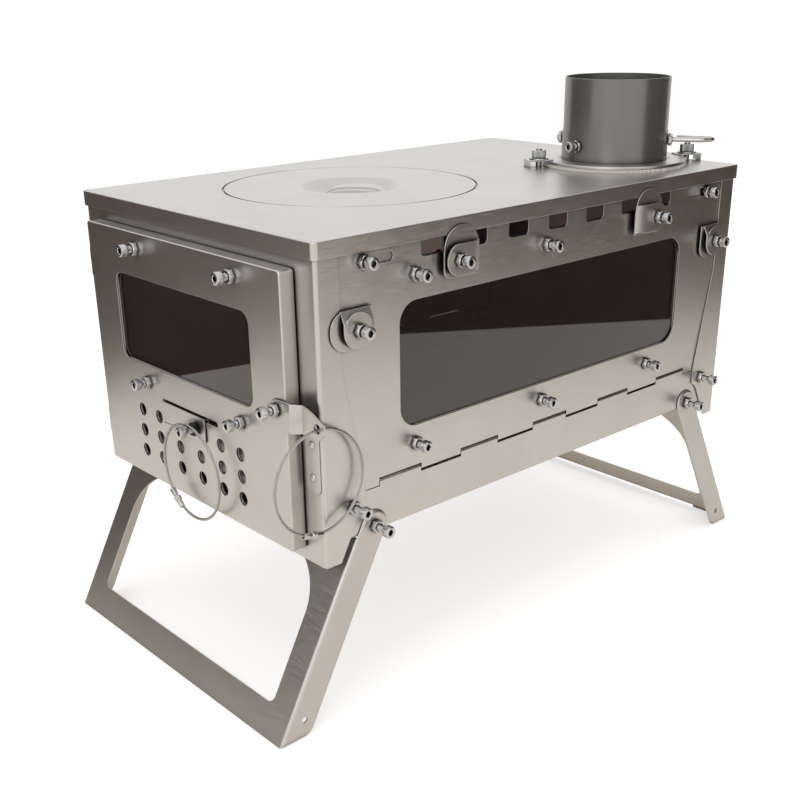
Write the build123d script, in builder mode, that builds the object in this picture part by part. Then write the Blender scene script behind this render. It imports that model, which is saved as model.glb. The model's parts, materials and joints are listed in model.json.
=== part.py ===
"""Folding tent wood stove with glazed sides, a glazed fire door, a hot-plate lid and a flue collar.

+X is to the right when the door is faced, +Y is to the rear and +Z is up.
The origin is on the ground, midway between the feet. Sizes are in millimetres.
"""

import os
from math import cos, radians, sin, sqrt, tan

from build123d import *

os.makedirs("parts", exist_ok=True)

# Sheets, wires and working gaps
sheet = 1.0
leg_sheet = 1.2
seat_gap = 0.3
pin_gap = 0.06

# Box of the fire chamber
body_width = 225.0
body_length = 359.0
top_height = 273.0
pan_height = 109.0
skirt_height = 98.0
hinge_height = 137.0
rim_depth = 9.0
rim_gap = 0.5
corner_radius = 2.0
top_edge_round = 0.8
panel_gap = 0.2
pan_lip = 7.0

# Socket screws, nuts and their holes
screw_radius = 2.0
screw_hole = screw_radius + 0.15
head_radius = 3.5
head_height = 4.0
socket_radius = 1.75
socket_depth = 2.2
nut_flats = 7.0
nut_height = 3.2

# Side windows, their glass and its retaining frame
window_length = 248.0
window_bottom = 163.0
window_top = 233.0
window_corner = 12.0
pane_corner = 4.0
glass_thickness = 3.0
gasket_thickness = 0.5
glass_overlap = 5.5
retainer_end_lap = 13.0
retainer_low_lap = 14.5
retainer_top_lap = 21.5
side_screw_pitch = 104.0
side_screw_shift = -9.0
side_screw_low = 152.5
side_screw_high = 247.0
glass_screw_stand = 6.4

# Air slots under the rim
slot_count = 7
slot_pitch = 33.5
slot_length = 16.0
slot_bottom = 255.0
slot_top = 267.0
slot_corner = 2.5

# Tab hinge between each side panel and the floor pan
tab_pitch = 31.1
tab_count = 9
tab_gap = 0.4
knuckle_radius = 2.0
hinge_rod_radius = 0.94
hinge_rod_end = 6.0

# Side flanges of the front frame and rear panel
flange_width = 15.1
flange_low_width = 28.7
flange_taper_height = 205.0
flange_notch_gap = 4.5
flange_screw_inset = 19.5
flange_screw_height = 128.5
flange_screw_stand = 8.8
frame_opening_width = 168.0
frame_opening_bottom = 117.0
frame_opening_top = 246.0
frame_opening_corner = 3.0

# Slots and lugs that hold the top plate
lug_slot_length = 22.5
lug_slot_width = 5.0
lug_slot_drop = 13.3
lug_slot_inset = 40.3
lug_length = 30.0
lug_end_lap = 5.7
lug_flange = 12.0
lug_screw_inset = 31.5
lug_screw_stand = 4.8

# Legs
leg_angle = 28.2
pivot_inset = 34.5
pivot_height = 113.0
arm_radius = 9.5
leg_bend = 2.4
leg_bar = 19.0
leg_top_bar = 17.5
window_top_round = 33.0
window_low_round = 5.0
foot_round = 9.0
foot_hole_radius = 1.8
foot_hole_height = 11.7
foot_recess = 2.2
foot_pad = 30.0
pivot_screw_stand = 8.7
pivot_boss_radius = 2.9

# Fire door
door_side_inset = 16.2
door_bottom = 105.5
door_top = 258.0
door_depth = 8.9
door_clear = 0.6
door_corner = 2.0
door_window_width = 135.0
door_window_bottom = 179.5
door_window_top = 232.0
door_window_corner = 7.0
door_pane_corner = 3.0
door_retainer_width = 164.0
door_retainer_bottom = 163.5
door_retainer_top = 254.5
door_screw_pitch = 96.0
door_screw_shift = 7.0
door_screw_low = 169.0
door_screw_high = 249.0
door_screw_stand = 6.4
air_columns = (-51.7, -32.7, -11.0, 11.0, 32.7, 51.7)
air_row_top = 149.2
air_row_pitch = 13.25
air_row_count = 3
air_hole_radius = 4.0

# Air slider
slider_travel = 10.0
slider_play = 2.0
slider_left = -66.0
slider_right = 66.0
slider_low = 116.0
slider_high = 156.0
slider_tab_left = -25.0
slider_tab_right = 19.0
slider_tab_height = 160.8
slider_tab_low = 146.0
slider_tab_corner = 3.0
slider_slot_width = 3.0
knob_x = 10.0
knob_height = 153.5
knob_stand = 7.8
guide_reach = 48.0
guide_length = 14.0
guide_foot = 6.5
guide_lap = 2.6

# Door hinge
hinge_axis_gap = 3.2
hinge_pin_radius = 1.5
hinge_barrel = 2.6
hinge_leaf_height = 14.0
hinge_heights = (130.0, 232.0)
hinge_leaf_length = 9.0

# Door latch and strike
latch_inset = 23.0
latch_z = 185.5
latch_eye = 5.5
latch_low = 175.0
latch_top = 190.3
latch_end_top = 183.5
latch_ramp_start_inset = 11.3
latch_ramp_end_inset = 7.3
latch_drop = 4.8
latch_overhang = 10.5
latch_corner = 4.0
latch_hole_radius = 2.6
latch_hole_overhang = 4.5
latch_hole_z = 181.0
latch_screw_stand = 8.0
strike_left_inset = 12.5
strike_right_inset = 1.5
strike_low = 141.0
strike_bend = 172.0
strike_top = 185.0
strike_bow = 2.3
strike_corner = 3.0
rivet_radius = 2.4
rivet_height = 1.1
rivet_taper = 30.0
rivet_heights = (149.6, 167.8)

# Cable rings
ring_radius = 28.5
cable_radius = 0.9
clasp_radius = 1.8
clasp_length = 13.0
clasp_band_radius = 2.2
clasp_band_length = 3.2
ring_rest = 0.8
ring_one_clasp = -130.0
ring_two_clasp = -12.0

# Turn clips
clip_step = 3.3
clip_hole = screw_radius + pin_gap
end_clip_inset = 23.5
end_clip_height = 226.0
rim_clip_offset = 87.0
rim_clip_height = 251.0
clip_head_stand = 5.0
corner_clip_nose = 16.0
corner_clip_tail = 12.0
corner_clip_low = 10.5
corner_clip_fold = 10.5
corner_clip_ledge = 4.5
corner_clip_plate = 9.6
corner_clip_nose_round = 10.0
corner_clip_tail_round = 6.3
rim_clip_nose = 17.5
rim_clip_tail = 10.0
rim_clip_low = 8.0
rim_clip_fold = 18.0
rim_clip_ledge = 10.5
rim_clip_plate = 8.5
rim_clip_nose_round = 12.0
rim_clip_tail_round = 4.8

# Lid and the hole that it closes
lid_x = -9.0
lid_y = -55.0
lid_radius = 77.4
lid_gap = 0.8
lid_ledge = 8.0
dish_radius = 31.0
dish_floor_radius = 23.0
dish_depth = 7.0
strap_width = 13.0
strap_angle = 40.0
strap_foot = 6.0
strap_rise = 6.0

# Flue collar, its flange and its clamps
flue_x = 50.0
flue_y = 128.0
collar_radius = 35.0
collar_top = 329.0
collar_low = 264.0
collar_mouth_low = 296.0
collar_mouth_draw = 0.5
collar_mouth_slope = 2.0
flue_flange_radius = 48.0
flue_flange_thickness = 2.0
flue_gasket_thickness = 2.0
stud_circle = 53.0
stud_radius = 2.0
stud_angle = 60.0
dog_length = 17.0
dog_width = 11.0
washer_radius = 6.5
washer_thickness = 0.8
thumb_radius = 4.7
thumb_height = 5.0
thumb_knurls = 18
knurl_radius = 0.35
collar_screw_angle = -95.0
collar_screw_height = 287.0
collar_screw_stand = 4.5

# Damper
damper_angle = 30.0
damper_height = 289.5
damper_radius = 32.2
damper_wire = 1.5
damper_near_reach = 57.0
damper_far_reach = 68.0
damper_tip_offset = 8.0
damper_offset = 12.0
damper_return = 40.0
damper_bend = 3.0
damper_nut_height = 2.6
damper_nut_radius = 3.4

# Fire grate
grate_length = 300.0
grate_width = 176.0
grate_height = 12.0
grate_rows = 9
grate_columns = 2
grate_slot_length = 66.0
grate_slot_width = 14.0
grate_pitch = 31.0

half_width = body_width / 2
door_width = body_width - 2 * door_side_inset
latch_x = body_width / 2 - latch_inset
latch_ramp_start = body_width / 2 - latch_ramp_start_inset
latch_ramp_end = body_width / 2 - latch_ramp_end_inset
latch_reach = body_width / 2 + latch_overhang
latch_hole_x = body_width / 2 + latch_hole_overhang
strike_left = body_width / 2 - strike_left_inset
strike_right = body_width / 2 - strike_right_inset
half_length = body_length / 2
side_face = half_width - sheet
side_back = side_face - sheet
under_top = top_height - sheet
lug_slot_height = under_top - lug_slot_drop
lug_depth = lug_slot_drop + lug_end_lap
retainer_length = window_length + 2 * retainer_end_lap
retainer_bottom = window_bottom - retainer_low_lap
retainer_top = window_top + retainer_top_lap
inner_length = half_length - sheet
panel_end = inner_length - panel_gap
panel_top = under_top - panel_gap
floor_top = pan_height + sheet
rim_face = half_width + rim_gap + sheet
nut_corner = nut_flats / sqrt(3)
knuckle_x = side_face - knuckle_radius
tab_start = -tab_pitch * tab_count / 2
pan_edge = hinge_height - knuckle_radius - tab_gap
notch_edge = hinge_height + knuckle_radius + tab_gap
glass_outer = side_back - gasket_thickness
glass_inner = glass_outer - glass_thickness
retainer_inner = glass_inner - sheet
leg_inner = side_face + seat_gap
leg_half = leg_inner + leg_sheet
pivot_y = half_length - pivot_inset
pivot_seat = leg_half + seat_gap
web_top = pan_height - seat_gap
door_back = -half_length - door_clear
door_front = door_back - door_depth
door_skin = door_front + sheet
door_half = door_width / 2
door_glass_front = door_skin + gasket_thickness
door_glass_back = door_glass_front + glass_thickness
door_retainer_back = door_glass_back + sheet
slider_slot_left = slider_tab_left - slider_play
slider_slot_right = slider_tab_right + slider_travel + slider_play
slider_front = door_skin + seat_gap
slider_back = slider_front + sheet
tab_front = door_front - seat_gap - sheet
hinge_x = -door_half - hinge_axis_gap
hinge_y = door_front + door_depth / 2
latch_back = door_front - seat_gap
latch_front = latch_back - sheet
end_seat = half_width + seat_gap
rim_seat = rim_face + seat_gap
end_clip_y = half_length - end_clip_inset
flue_base = top_height + flue_gasket_thickness
flue_top = flue_base + flue_flange_thickness
mouth_radius = collar_radius - collar_mouth_draw
flange_screw_y = half_length - flange_screw_inset
lug_y = half_length - lug_slot_inset
lug_screw_y = half_length - lug_screw_inset
lug_back = side_back - lug_flange


def save(part, name):
    """Label a finished piece and write its file."""
    part.label = name
    export_step(part, f"parts/{name}.step")


def mirrored(part):
    """Copy of a right-hand piece for the left side."""
    return mirror(part, about=Plane.YZ)


def both_sides(part):
    """Right-hand pieces together with their copies on the left."""
    with BuildPart() as pair:
        add(part)
        add(mirrored(part))
    return pair.part


def front_plane(y):
    """Plane across the stove at y that faces the front; its own y is up."""
    return Plane.XZ.offset(-y)


def side_seat(x, y, z):
    """Seat of a screw on the right side."""
    return Plane(origin=(x, y, z), x_dir=(0, 1, 0), z_dir=(1, 0, 0))


def door_seat(x, y, z):
    """Seat of a screw that points to the front."""
    return Plane(origin=(x, y, z), x_dir=(1, 0, 0), z_dir=(0, -1, 0))


def screw_group(seats, tail, stand):
    """Socket screws whose shanks run back from their seats and whose heads stand off them."""
    with BuildPart() as group:
        for seat in seats:
            with BuildSketch(seat.offset(-tail)):
                Circle(screw_radius)
            extrude(amount=tail + stand)
            with BuildSketch(seat.offset(stand)):
                Circle(head_radius)
            extrude(amount=head_height)
            with BuildSketch(seat.offset(stand + head_height - socket_depth)):
                RegularPolygon(socket_radius, 6)
            extrude(amount=socket_depth, mode=Mode.SUBTRACT)
    return group.part


def nut_group(seats, height, bore=screw_radius):
    """Hexagon nuts of one height on their seats."""
    with BuildPart() as group:
        for seat in seats:
            with BuildSketch(seat):
                RegularPolygon(nut_corner, 6)
                Circle(bore, mode=Mode.SUBTRACT)
            extrude(amount=height)
    return group.part


def framed_sheet(plane, thickness, length, bottom, top, hole_length, hole_bottom, hole_top, corner):
    """Flat frame around a window, or a full pane when the hole has no length."""
    with BuildPart() as frame:
        with BuildSketch(plane):
            with Locations((0, (bottom + top) / 2)):
                RectangleRounded(length, top - bottom, corner)
            if hole_length:
                with Locations((0, (hole_bottom + hole_top) / 2)):
                    RectangleRounded(hole_length, hole_top - hole_bottom, corner, mode=Mode.SUBTRACT)
        extrude(amount=thickness)
    return frame.part


def tube_row(axis_x, axis_z, starts, length, outer, bore):
    """Rolled knuckles along Y."""
    with BuildPart() as row:
        for start in starts:
            with BuildSketch(front_plane(start + length)):
                with Locations((axis_x, axis_z)):
                    Circle(outer)
            extrude(amount=length)
        with BuildSketch(front_plane(half_length)):
            with Locations((axis_x, axis_z)):
                Circle(bore)
        extrude(amount=body_length, mode=Mode.SUBTRACT)
    return row.part


# Places of the fasteners, as pairs of y and z on a side or x and z on the door
side_screw_columns = [side_screw_shift + i * side_screw_pitch for i in (-1, 0, 1)]
glass_places = [(y, side_screw_low) for y in side_screw_columns]
glass_places += [(y, side_screw_high) for y in side_screw_columns[:2]]
rim_clip_places = [(-rim_clip_offset, rim_clip_height), (rim_clip_offset, rim_clip_height)]
end_clip_places = [(-end_clip_y, end_clip_height), (end_clip_y, end_clip_height)]
lug_screw_places = [(-lug_screw_y, lug_slot_height), (lug_screw_y, lug_slot_height)]
flange_places = [(-flange_screw_y, flange_screw_height), (flange_screw_y, flange_screw_height)]
pivot_places = [(-pivot_y, pivot_height), (pivot_y, pivot_height)]
door_screw_places = [
    (door_screw_shift + i * door_screw_pitch / 2, z)
    for i in (-1, 1)
    for z in (door_screw_low, door_screw_high)
]
slot_starts = [(i - (slot_count - 1) / 2) * slot_pitch for i in range(slot_count)]
pan_tabs = [tab_start + i * tab_pitch for i in range(tab_count) if i % 2 == 0]
panel_tabs = [tab_start + i * tab_pitch for i in range(tab_count) if i % 2 == 1]
air_holes = [
    (x, air_row_top - row * air_row_pitch)
    for x in air_columns
    for row in range(air_row_count)
    if row or abs(x) > slider_tab_right
]

# Top plate: a pan turned upside down, with the lid's hole and the flue's hole
with BuildPart() as top_plate:
    with BuildSketch(Plane.XY.offset(top_height - rim_depth)):
        RectangleRounded(2 * rim_face, body_length + 2 * (rim_gap + sheet), corner_radius + sheet)
    extrude(amount=rim_depth)
    fillet(top_plate.faces().sort_by(Axis.Z)[-1].edges(), radius=top_edge_round)
    with BuildSketch(Plane.XY.offset(top_height - rim_depth)):
        RectangleRounded(2 * (rim_face - sheet), body_length + 2 * rim_gap, corner_radius)
    extrude(amount=rim_depth - sheet, mode=Mode.SUBTRACT)
    with BuildSketch(Plane.XY.offset(under_top)):
        with Locations((lid_x, lid_y)):
            Circle(lid_radius + lid_gap)
        with Locations((flue_x, flue_y)):
            Circle(collar_radius)
            with PolarLocations(stud_circle, 2, start_angle=stud_angle):
                Circle(stud_radius)
    extrude(amount=sheet, mode=Mode.SUBTRACT)
save(top_plate.part, "top_plate")

# Ledge ring welded under the lid's hole
with BuildPart() as ledge:
    with BuildSketch(Plane.XY.offset(under_top - sheet)):
        with Locations((lid_x, lid_y)):
            Circle(lid_radius + lid_ledge)
            Circle(lid_radius - lid_ledge, mode=Mode.SUBTRACT)
    extrude(amount=sheet)
save(ledge.part, "lid_ledge")

# Lid: a round plate with a pressed dish in its middle
with BuildPart() as lid:
    with BuildSketch(Plane.XZ):
        with BuildLine():
            Polyline(
                (0, under_top - dish_depth),
                (dish_floor_radius, under_top - dish_depth),
                (dish_radius, under_top),
                (lid_radius, under_top),
                (lid_radius, top_height),
                (dish_radius, top_height),
                (dish_floor_radius, top_height - dish_depth),
                (0, top_height - dish_depth),
                close=True,
            )
        make_face()
    revolve(axis=Axis.Z)
save(lid.part.moved(Location((lid_x, lid_y, 0))), "lid")

# Strap across the dish, bent down at its ends to the floor of the dish
strap_half = dish_floor_radius - pin_gap
dish_floor = top_height - dish_depth
strap_plane = Plane(
    origin=(lid_x, lid_y, dish_floor),
    x_dir=(cos(radians(strap_angle)), sin(radians(strap_angle)), 0),
    z_dir=(sin(radians(strap_angle)), -cos(radians(strap_angle)), 0),
)
with BuildPart() as strap:
    with BuildSketch(strap_plane):
        with BuildLine():
            Polyline(
                (-strap_half, 0),
                (-strap_half + strap_foot, 0),
                (-strap_half + 2 * strap_foot, strap_rise - sheet),
                (strap_half - 2 * strap_foot, strap_rise - sheet),
                (strap_half - strap_foot, 0),
                (strap_half, 0),
                (strap_half, sheet),
                (strap_half - strap_foot, sheet),
                (strap_half - 2 * strap_foot, strap_rise),
                (-strap_half + 2 * strap_foot, strap_rise),
                (-strap_half + strap_foot, sheet),
                (-strap_half, sheet),
                close=True,
            )
        make_face()
    extrude(amount=strap_width / 2, both=True)
    with BuildSketch(Plane.XY.offset(dish_floor)):
        with Locations((lid_x, lid_y)):
            Circle(dish_floor_radius - pin_gap)
    extrude(amount=dish_depth, mode=Mode.INTERSECT)
save(strap.part, "lid_strap")


def leg_point(end, along, across):
    """Point beside an arm's line: along it from the pivot, and across it towards the outside."""
    y = end * (pivot_y + along * sin(radians(leg_angle)) + across * cos(radians(leg_angle)))
    z = pivot_height - along * cos(radians(leg_angle)) + across * sin(radians(leg_angle))
    return (y, z)


def arm_length(across, height):
    """How far along the arm a line set off sideways comes down to a height."""
    return (pivot_height - height + across * sin(radians(leg_angle))) / cos(radians(leg_angle))


def end_panel(end, opening):
    """Front frame or rear panel: a plate with a flange down each side, notched around the leg."""
    notch = arm_radius + flange_notch_gap
    face = end * half_length
    with BuildPart() as panel:
        with BuildSketch(front_plane(max(face, face - end * sheet))):
            with Locations((0, (skirt_height + panel_top) / 2)):
                RectangleRounded(body_width, panel_top - skirt_height, corner_radius)
            if opening:
                with Locations((0, (frame_opening_bottom + frame_opening_top) / 2)):
                    RectangleRounded(
                        frame_opening_width,
                        frame_opening_top - frame_opening_bottom,
                        frame_opening_corner,
                        mode=Mode.SUBTRACT,
                    )
        extrude(amount=sheet)
        with BuildSketch(Plane.YZ.offset(-half_width)):
            with BuildLine():
                Polyline(
                    (face, panel_top),
                    (face - end * flange_width, panel_top),
                    (face - end * flange_width, flange_taper_height),
                    (face - end * flange_low_width, hinge_height),
                    (face - end * flange_low_width, skirt_height),
                    (face, skirt_height),
                    close=True,
                )
            make_face()
            with BuildLine():
                Polyline(
                    leg_point(end, 0, notch),
                    leg_point(end, arm_length(notch, 0), notch),
                    leg_point(end, arm_length(-notch, 0), -notch),
                    leg_point(end, 0, -notch),
                    close=True,
                )
            make_face(mode=Mode.SUBTRACT)
            with Locations((end * pivot_y, pivot_height)):
                Circle(notch, mode=Mode.SUBTRACT)
            with Locations((end * flange_screw_y, flange_screw_height)):
                Circle(screw_hole, mode=Mode.SUBTRACT)
        extrude(amount=body_width)
        with BuildSketch(Plane.YZ.offset(-side_face)):
            with Locations((face - end * (sheet + half_length / 2), top_height / 2)):
                Rectangle(half_length, top_height)
        extrude(amount=2 * side_face, mode=Mode.SUBTRACT)
        bends = panel.edges().filter_by(Axis.Z).group_by(SortBy.LENGTH)[-1]
        fillet(bends.group_by(Axis.Y)[0 if end < 0 else -1], radius=corner_radius)
    return panel.part


save(end_panel(-1, True), "front_frame")
save(end_panel(1, False), "rear_panel")

# Right side panel with its window, air slots and rolled knuckles
with BuildPart() as side_panel:
    with BuildSketch(Plane.YZ.offset(side_back)):
        with Locations((0, (pan_edge + tab_gap + panel_top) / 2)):
            Rectangle(2 * panel_end, panel_top - pan_edge - tab_gap)
        with Locations((0, (window_bottom + window_top) / 2)):
            RectangleRounded(
                window_length, window_top - window_bottom, window_corner, mode=Mode.SUBTRACT
            )
        with Locations(*[(y, (slot_bottom + slot_top) / 2) for y in slot_starts]):
            RectangleRounded(slot_length, slot_top - slot_bottom, slot_corner, mode=Mode.SUBTRACT)
        for side in (-1, 1):
            with Locations((side * lug_y, lug_slot_height)):
                SlotOverall(lug_slot_length, lug_slot_width, mode=Mode.SUBTRACT)
        with Locations(*glass_places, *rim_clip_places, *end_clip_places):
            Circle(screw_hole, mode=Mode.SUBTRACT)
        with Locations(*[(y + tab_pitch / 2, hinge_height) for y in pan_tabs]):
            Rectangle(tab_pitch + tab_gap, 2 * (notch_edge - hinge_height), mode=Mode.SUBTRACT)
        with Locations(*[(y + tab_pitch / 2, hinge_height - knuckle_radius) for y in panel_tabs]):
            Rectangle(tab_pitch, 2 * knuckle_radius, mode=Mode.SUBTRACT)
    extrude(amount=sheet)
    add(
        tube_row(
            knuckle_x,
            hinge_height,
            [y + tab_gap / 2 for y in panel_tabs],
            tab_pitch - tab_gap,
            knuckle_radius,
            hinge_rod_radius + pin_gap,
        )
    )
save(side_panel.part, "side_panel_right")
save(mirrored(side_panel.part), "side_panel_left")

# Floor pan: floor, low lips at the ends, and sides with the other knuckles
with BuildPart() as pan_knuckles:
    with BuildSketch(Plane.YZ.offset(side_back)):
        with Locations(*[(y + tab_pitch / 2, (pan_edge + hinge_height) / 2) for y in pan_tabs]):
            Rectangle(tab_pitch - tab_gap, hinge_height - pan_edge + 2 * tab_gap)
    extrude(amount=sheet)
    add(
        tube_row(
            knuckle_x,
            hinge_height,
            [y + tab_gap / 2 for y in pan_tabs],
            tab_pitch - tab_gap,
            knuckle_radius,
            hinge_rod_radius + pin_gap,
        )
    )
    with BuildSketch(front_plane(half_length)):
        with Locations((knuckle_x, hinge_height)):
            Circle(hinge_rod_radius + pin_gap)
    extrude(amount=body_length, mode=Mode.SUBTRACT)
with BuildPart() as floor_pan:
    with BuildSketch(Plane.XY.offset(pan_height)):
        Rectangle(2 * side_face, 2 * panel_end)
    extrude(amount=pan_edge - pan_height)
    fillet(floor_pan.edges().filter_by(Axis.Y).group_by(Axis.Z)[0], radius=corner_radius)
    with BuildSketch(Plane.XY.offset(floor_top)):
        Rectangle(2 * side_back, 2 * (panel_end - sheet))
    extrude(amount=hinge_height, mode=Mode.SUBTRACT)
    with BuildSketch(Plane.XY.offset(floor_top + pan_lip)):
        Rectangle(2 * side_back, 2 * half_length)
    extrude(amount=hinge_height, mode=Mode.SUBTRACT)
    add(pan_knuckles.part)
    add(mirrored(pan_knuckles.part))
    with BuildSketch(Plane.YZ.offset(-half_width)):
        with Locations(*flange_places, *pivot_places):
            Circle(screw_hole)
    extrude(amount=body_width, mode=Mode.SUBTRACT)
save(floor_pan.part, "floor_pan")

# Rods that pin the side panels to the floor pan
with BuildPart() as hinge_rod:
    rod_half = -tab_start + hinge_rod_end
    with BuildSketch(front_plane(rod_half)):
        with Locations((knuckle_x, hinge_height)):
            Circle(hinge_rod_radius)
    extrude(amount=2 * rod_half)
save(both_sides(hinge_rod.part), "hinge_rods")

# Side glass with its gasket and retaining frame
glass_bottom = window_bottom - glass_overlap
glass_top = window_top + glass_overlap
glass_length = window_length + 2 * glass_overlap
side_glass = framed_sheet(
    Plane.YZ.offset(glass_inner), glass_thickness, glass_length, glass_bottom, glass_top,
    0, 0, 0, pane_corner,
)
save(side_glass, "side_glass_right")
save(mirrored(side_glass), "side_glass_left")
side_gasket = framed_sheet(
    Plane.YZ.offset(glass_outer), gasket_thickness, glass_length, glass_bottom, glass_top,
    window_length, window_bottom, window_top, pane_corner,
)
save(both_sides(side_gasket), "side_gaskets")
with BuildPart() as side_retainer:
    add(
        framed_sheet(
            Plane.YZ.offset(retainer_inner), sheet, retainer_length, retainer_bottom, retainer_top,
            window_length, window_bottom, window_top, pane_corner,
        )
    )
    with BuildSketch(Plane.YZ.offset(retainer_inner)):
        with Locations(*glass_places, *rim_clip_places):
            Circle(screw_hole)
    extrude(amount=sheet, mode=Mode.SUBTRACT)
save(side_retainer.part, "side_retainer_right")
save(mirrored(side_retainer.part), "side_retainer_left")

# Screws and nuts of the side glass
glass_seats = [side_seat(side_face, y, z) for y, z in glass_places]
glass_tail = side_face - retainer_inner + nut_height
glass_screws = screw_group(glass_seats, glass_tail, glass_screw_stand)
retainer_seats = [
    side_seat(retainer_inner - nut_height, y, z) for y, z in glass_places + rim_clip_places
]

# Bolts and nuts through the flanges of the front frame and rear panel
flange_seats = [side_seat(half_width, y, z) for y, z in flange_places]
flange_screws = screw_group(flange_seats, half_width - side_back + nut_height, flange_screw_stand)


def leg(end, recess):
    """Pair of legs bent from one sheet: two arms joined by a web with a large window in it."""
    slope = radians(leg_angle)
    low_outer = arm_length(arm_radius, 0)
    reach = low_outer + leg_bar
    web_back = arm_radius - leg_sheet
    along_axis = Axis((0, 0, 0), (0, end * sin(slope), -cos(slope)))
    web_plane = Plane(
        origin=(0, *leg_point(end, 0, arm_radius)),
        x_dir=(-end, 0, 0),
        z_dir=(0, end * cos(slope), sin(slope)),
    )

    def across(edge):
        middle = edge.center()
        return end * (middle.Y - end * pivot_y) * cos(slope) + (middle.Z - pivot_height) * sin(slope)

    with BuildPart() as legs:
        with BuildSketch(Plane.YZ.offset(-leg_half)) as arm:
            with BuildLine():
                Polyline(
                    leg_point(end, 0, arm_radius),
                    leg_point(end, low_outer, arm_radius),
                    leg_point(end, arm_length(-arm_radius, 0), -arm_radius),
                    leg_point(end, 0, -arm_radius),
                    close=True,
                )
            make_face()
            feet = arm.vertices().group_by(Axis.Y)[0].sort_by(Axis.X)
            fillet(feet[-1] if end < 0 else feet[0], radius=foot_round)
            with Locations((end * pivot_y, pivot_height)):
                Circle(arm_radius)
        extrude(amount=2 * leg_half)
        fillet(
            [edge for edge in legs.edges().filter_by(along_axis) if across(edge) > web_back],
            radius=leg_bend,
        )
        with BuildSketch(Plane.YZ.offset(leg_sheet - leg_half)):
            with BuildLine():
                Polyline(
                    leg_point(end, -leg_bar, web_back),
                    leg_point(end, reach, web_back),
                    leg_point(end, reach, -leg_bar),
                    leg_point(end, -leg_bar, -leg_bar),
                    close=True,
                )
            make_face()
            with Locations((end * pivot_y, web_top + leg_bar)):
                Rectangle(4 * leg_bar, 2 * leg_bar)
        extrude(amount=2 * (leg_half - leg_sheet), mode=Mode.SUBTRACT)
        with BuildSketch(web_plane) as opening:
            opening_low = -low_outer + leg_bar
            opening_high = -arm_length(arm_radius, web_top) - leg_top_bar
            with Locations((0, (opening_low + opening_high) / 2)):
                Rectangle(2 * (leg_half - leg_bar), opening_high - opening_low)
            fillet(opening.vertices().group_by(Axis.Y)[-1], radius=window_top_round)
            fillet(opening.vertices().group_by(Axis.Y)[0], radius=window_low_round)
        extrude(amount=-2 * leg_sheet, mode=Mode.SUBTRACT)
        with BuildSketch(Plane.YZ.offset(-leg_half)):
            with Locations((end * pivot_y, pivot_height)):
                Circle(screw_radius + pin_gap)
            with Locations(leg_point(end, arm_length(0, foot_hole_height), 0)):
                Circle(foot_hole_radius)
        extrude(amount=2 * leg_half, mode=Mode.SUBTRACT)
        if recess:
            with BuildSketch(Plane.XY):
                with Locations(Location((0, leg_point(end, low_outer, arm_radius)[0], 0))):
                    Rectangle(2 * (leg_half - foot_pad), 4 * leg_bar)
            extrude(amount=recess, mode=Mode.SUBTRACT)
    return legs.part


save(leg(-1, 0), "front_leg")
save(leg(1, foot_recess), "rear_leg")

# Pivot screws of the legs, their outer nuts and their welded inner bosses
pivot_seats = [side_seat(pivot_seat, y, z) for y, z in pivot_places]
pivot_tail = pivot_seat - side_back + nut_height
pivot_screws = screw_group(pivot_seats, pivot_tail, pivot_screw_stand)
save(both_sides(pivot_screws), "leg_pivot_screws")
with BuildPart() as bosses:
    with BuildSketch(Plane.YZ.offset(side_back - nut_height)):
        with Locations(*pivot_places):
            Circle(pivot_boss_radius)
            Circle(screw_radius, mode=Mode.SUBTRACT)
    extrude(amount=nut_height)

# Lugs that hang from the top plate behind the slots, with their screws and nuts
with BuildPart() as lugs:
    with BuildSketch(Plane.YZ.offset(side_back - sheet)):
        for end in (-1, 1):
            with Locations((end * lug_y, under_top - lug_depth / 2)):
                Rectangle(lug_length, lug_depth)
            with Locations((end * lug_screw_y, lug_slot_height)):
                Circle(screw_hole, mode=Mode.SUBTRACT)
    extrude(amount=sheet)
    with BuildSketch(Plane.XY.offset(under_top - sheet)):
        for end in (-1, 1):
            with Locations(((lug_back + side_back) / 2, end * lug_y)):
                Rectangle(lug_flange, lug_length)
    extrude(amount=sheet)
save(both_sides(lugs.part), "top_lugs")
lug_seats = [side_seat(side_face, y, z) for y, z in lug_screw_places]
lug_screws = screw_group(lug_seats, 2 * sheet + nut_height, lug_screw_stand)


def turn_clip(seat, nose, tail, low, fold, ledge, plate_radius, nose_round, tail_round):
    """Turn clip folded from one sheet: a nosed inner plate, a sloping fold and a D-shaped outer plate.

    The seat's x is the way of the nose, and the fold runs along the side at minus y.
    """
    slope_plane = Plane(origin=seat.origin, x_dir=-seat.y_dir, z_dir=seat.x_dir)
    with BuildPart() as clip:
        with BuildSketch(seat) as inner:
            with Locations(((nose - tail) / 2, (low - fold) / 2)):
                Rectangle(nose + tail, low + fold)
            fillet(inner.vertices().group_by(Axis.X)[-1], radius=nose_round)
            fillet(inner.vertices().group_by(Axis.X)[0].sort_by(Axis.Y)[-1], radius=tail_round)
        extrude(amount=sheet)
        with BuildSketch(slope_plane):
            with BuildLine():
                Polyline(
                    (fold, 0),
                    (fold, -sheet),
                    (ledge, -clip_step - sheet),
                    (ledge, -clip_step),
                    close=True,
                )
            make_face()
        extrude(amount=plate_radius, both=True)
        with BuildSketch(seat.offset(clip_step)):
            Circle(plate_radius)
            with Locations((0, -ledge / 2)):
                Rectangle(2 * plate_radius, ledge)
        extrude(amount=sheet)
        with BuildSketch(seat):
            Circle(clip_hole)
        extrude(amount=clip_step + sheet, mode=Mode.SUBTRACT)
    return clip.part


def save_clips(clip, name):
    """The four copies of one clip: front and rear, right and left."""
    rear = mirror(clip, about=Plane.XZ)
    save(clip, f"{name}_front_right")
    save(rear, f"{name}_rear_right")
    save(mirrored(clip), f"{name}_front_left")
    save(mirrored(rear), f"{name}_rear_left")


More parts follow.
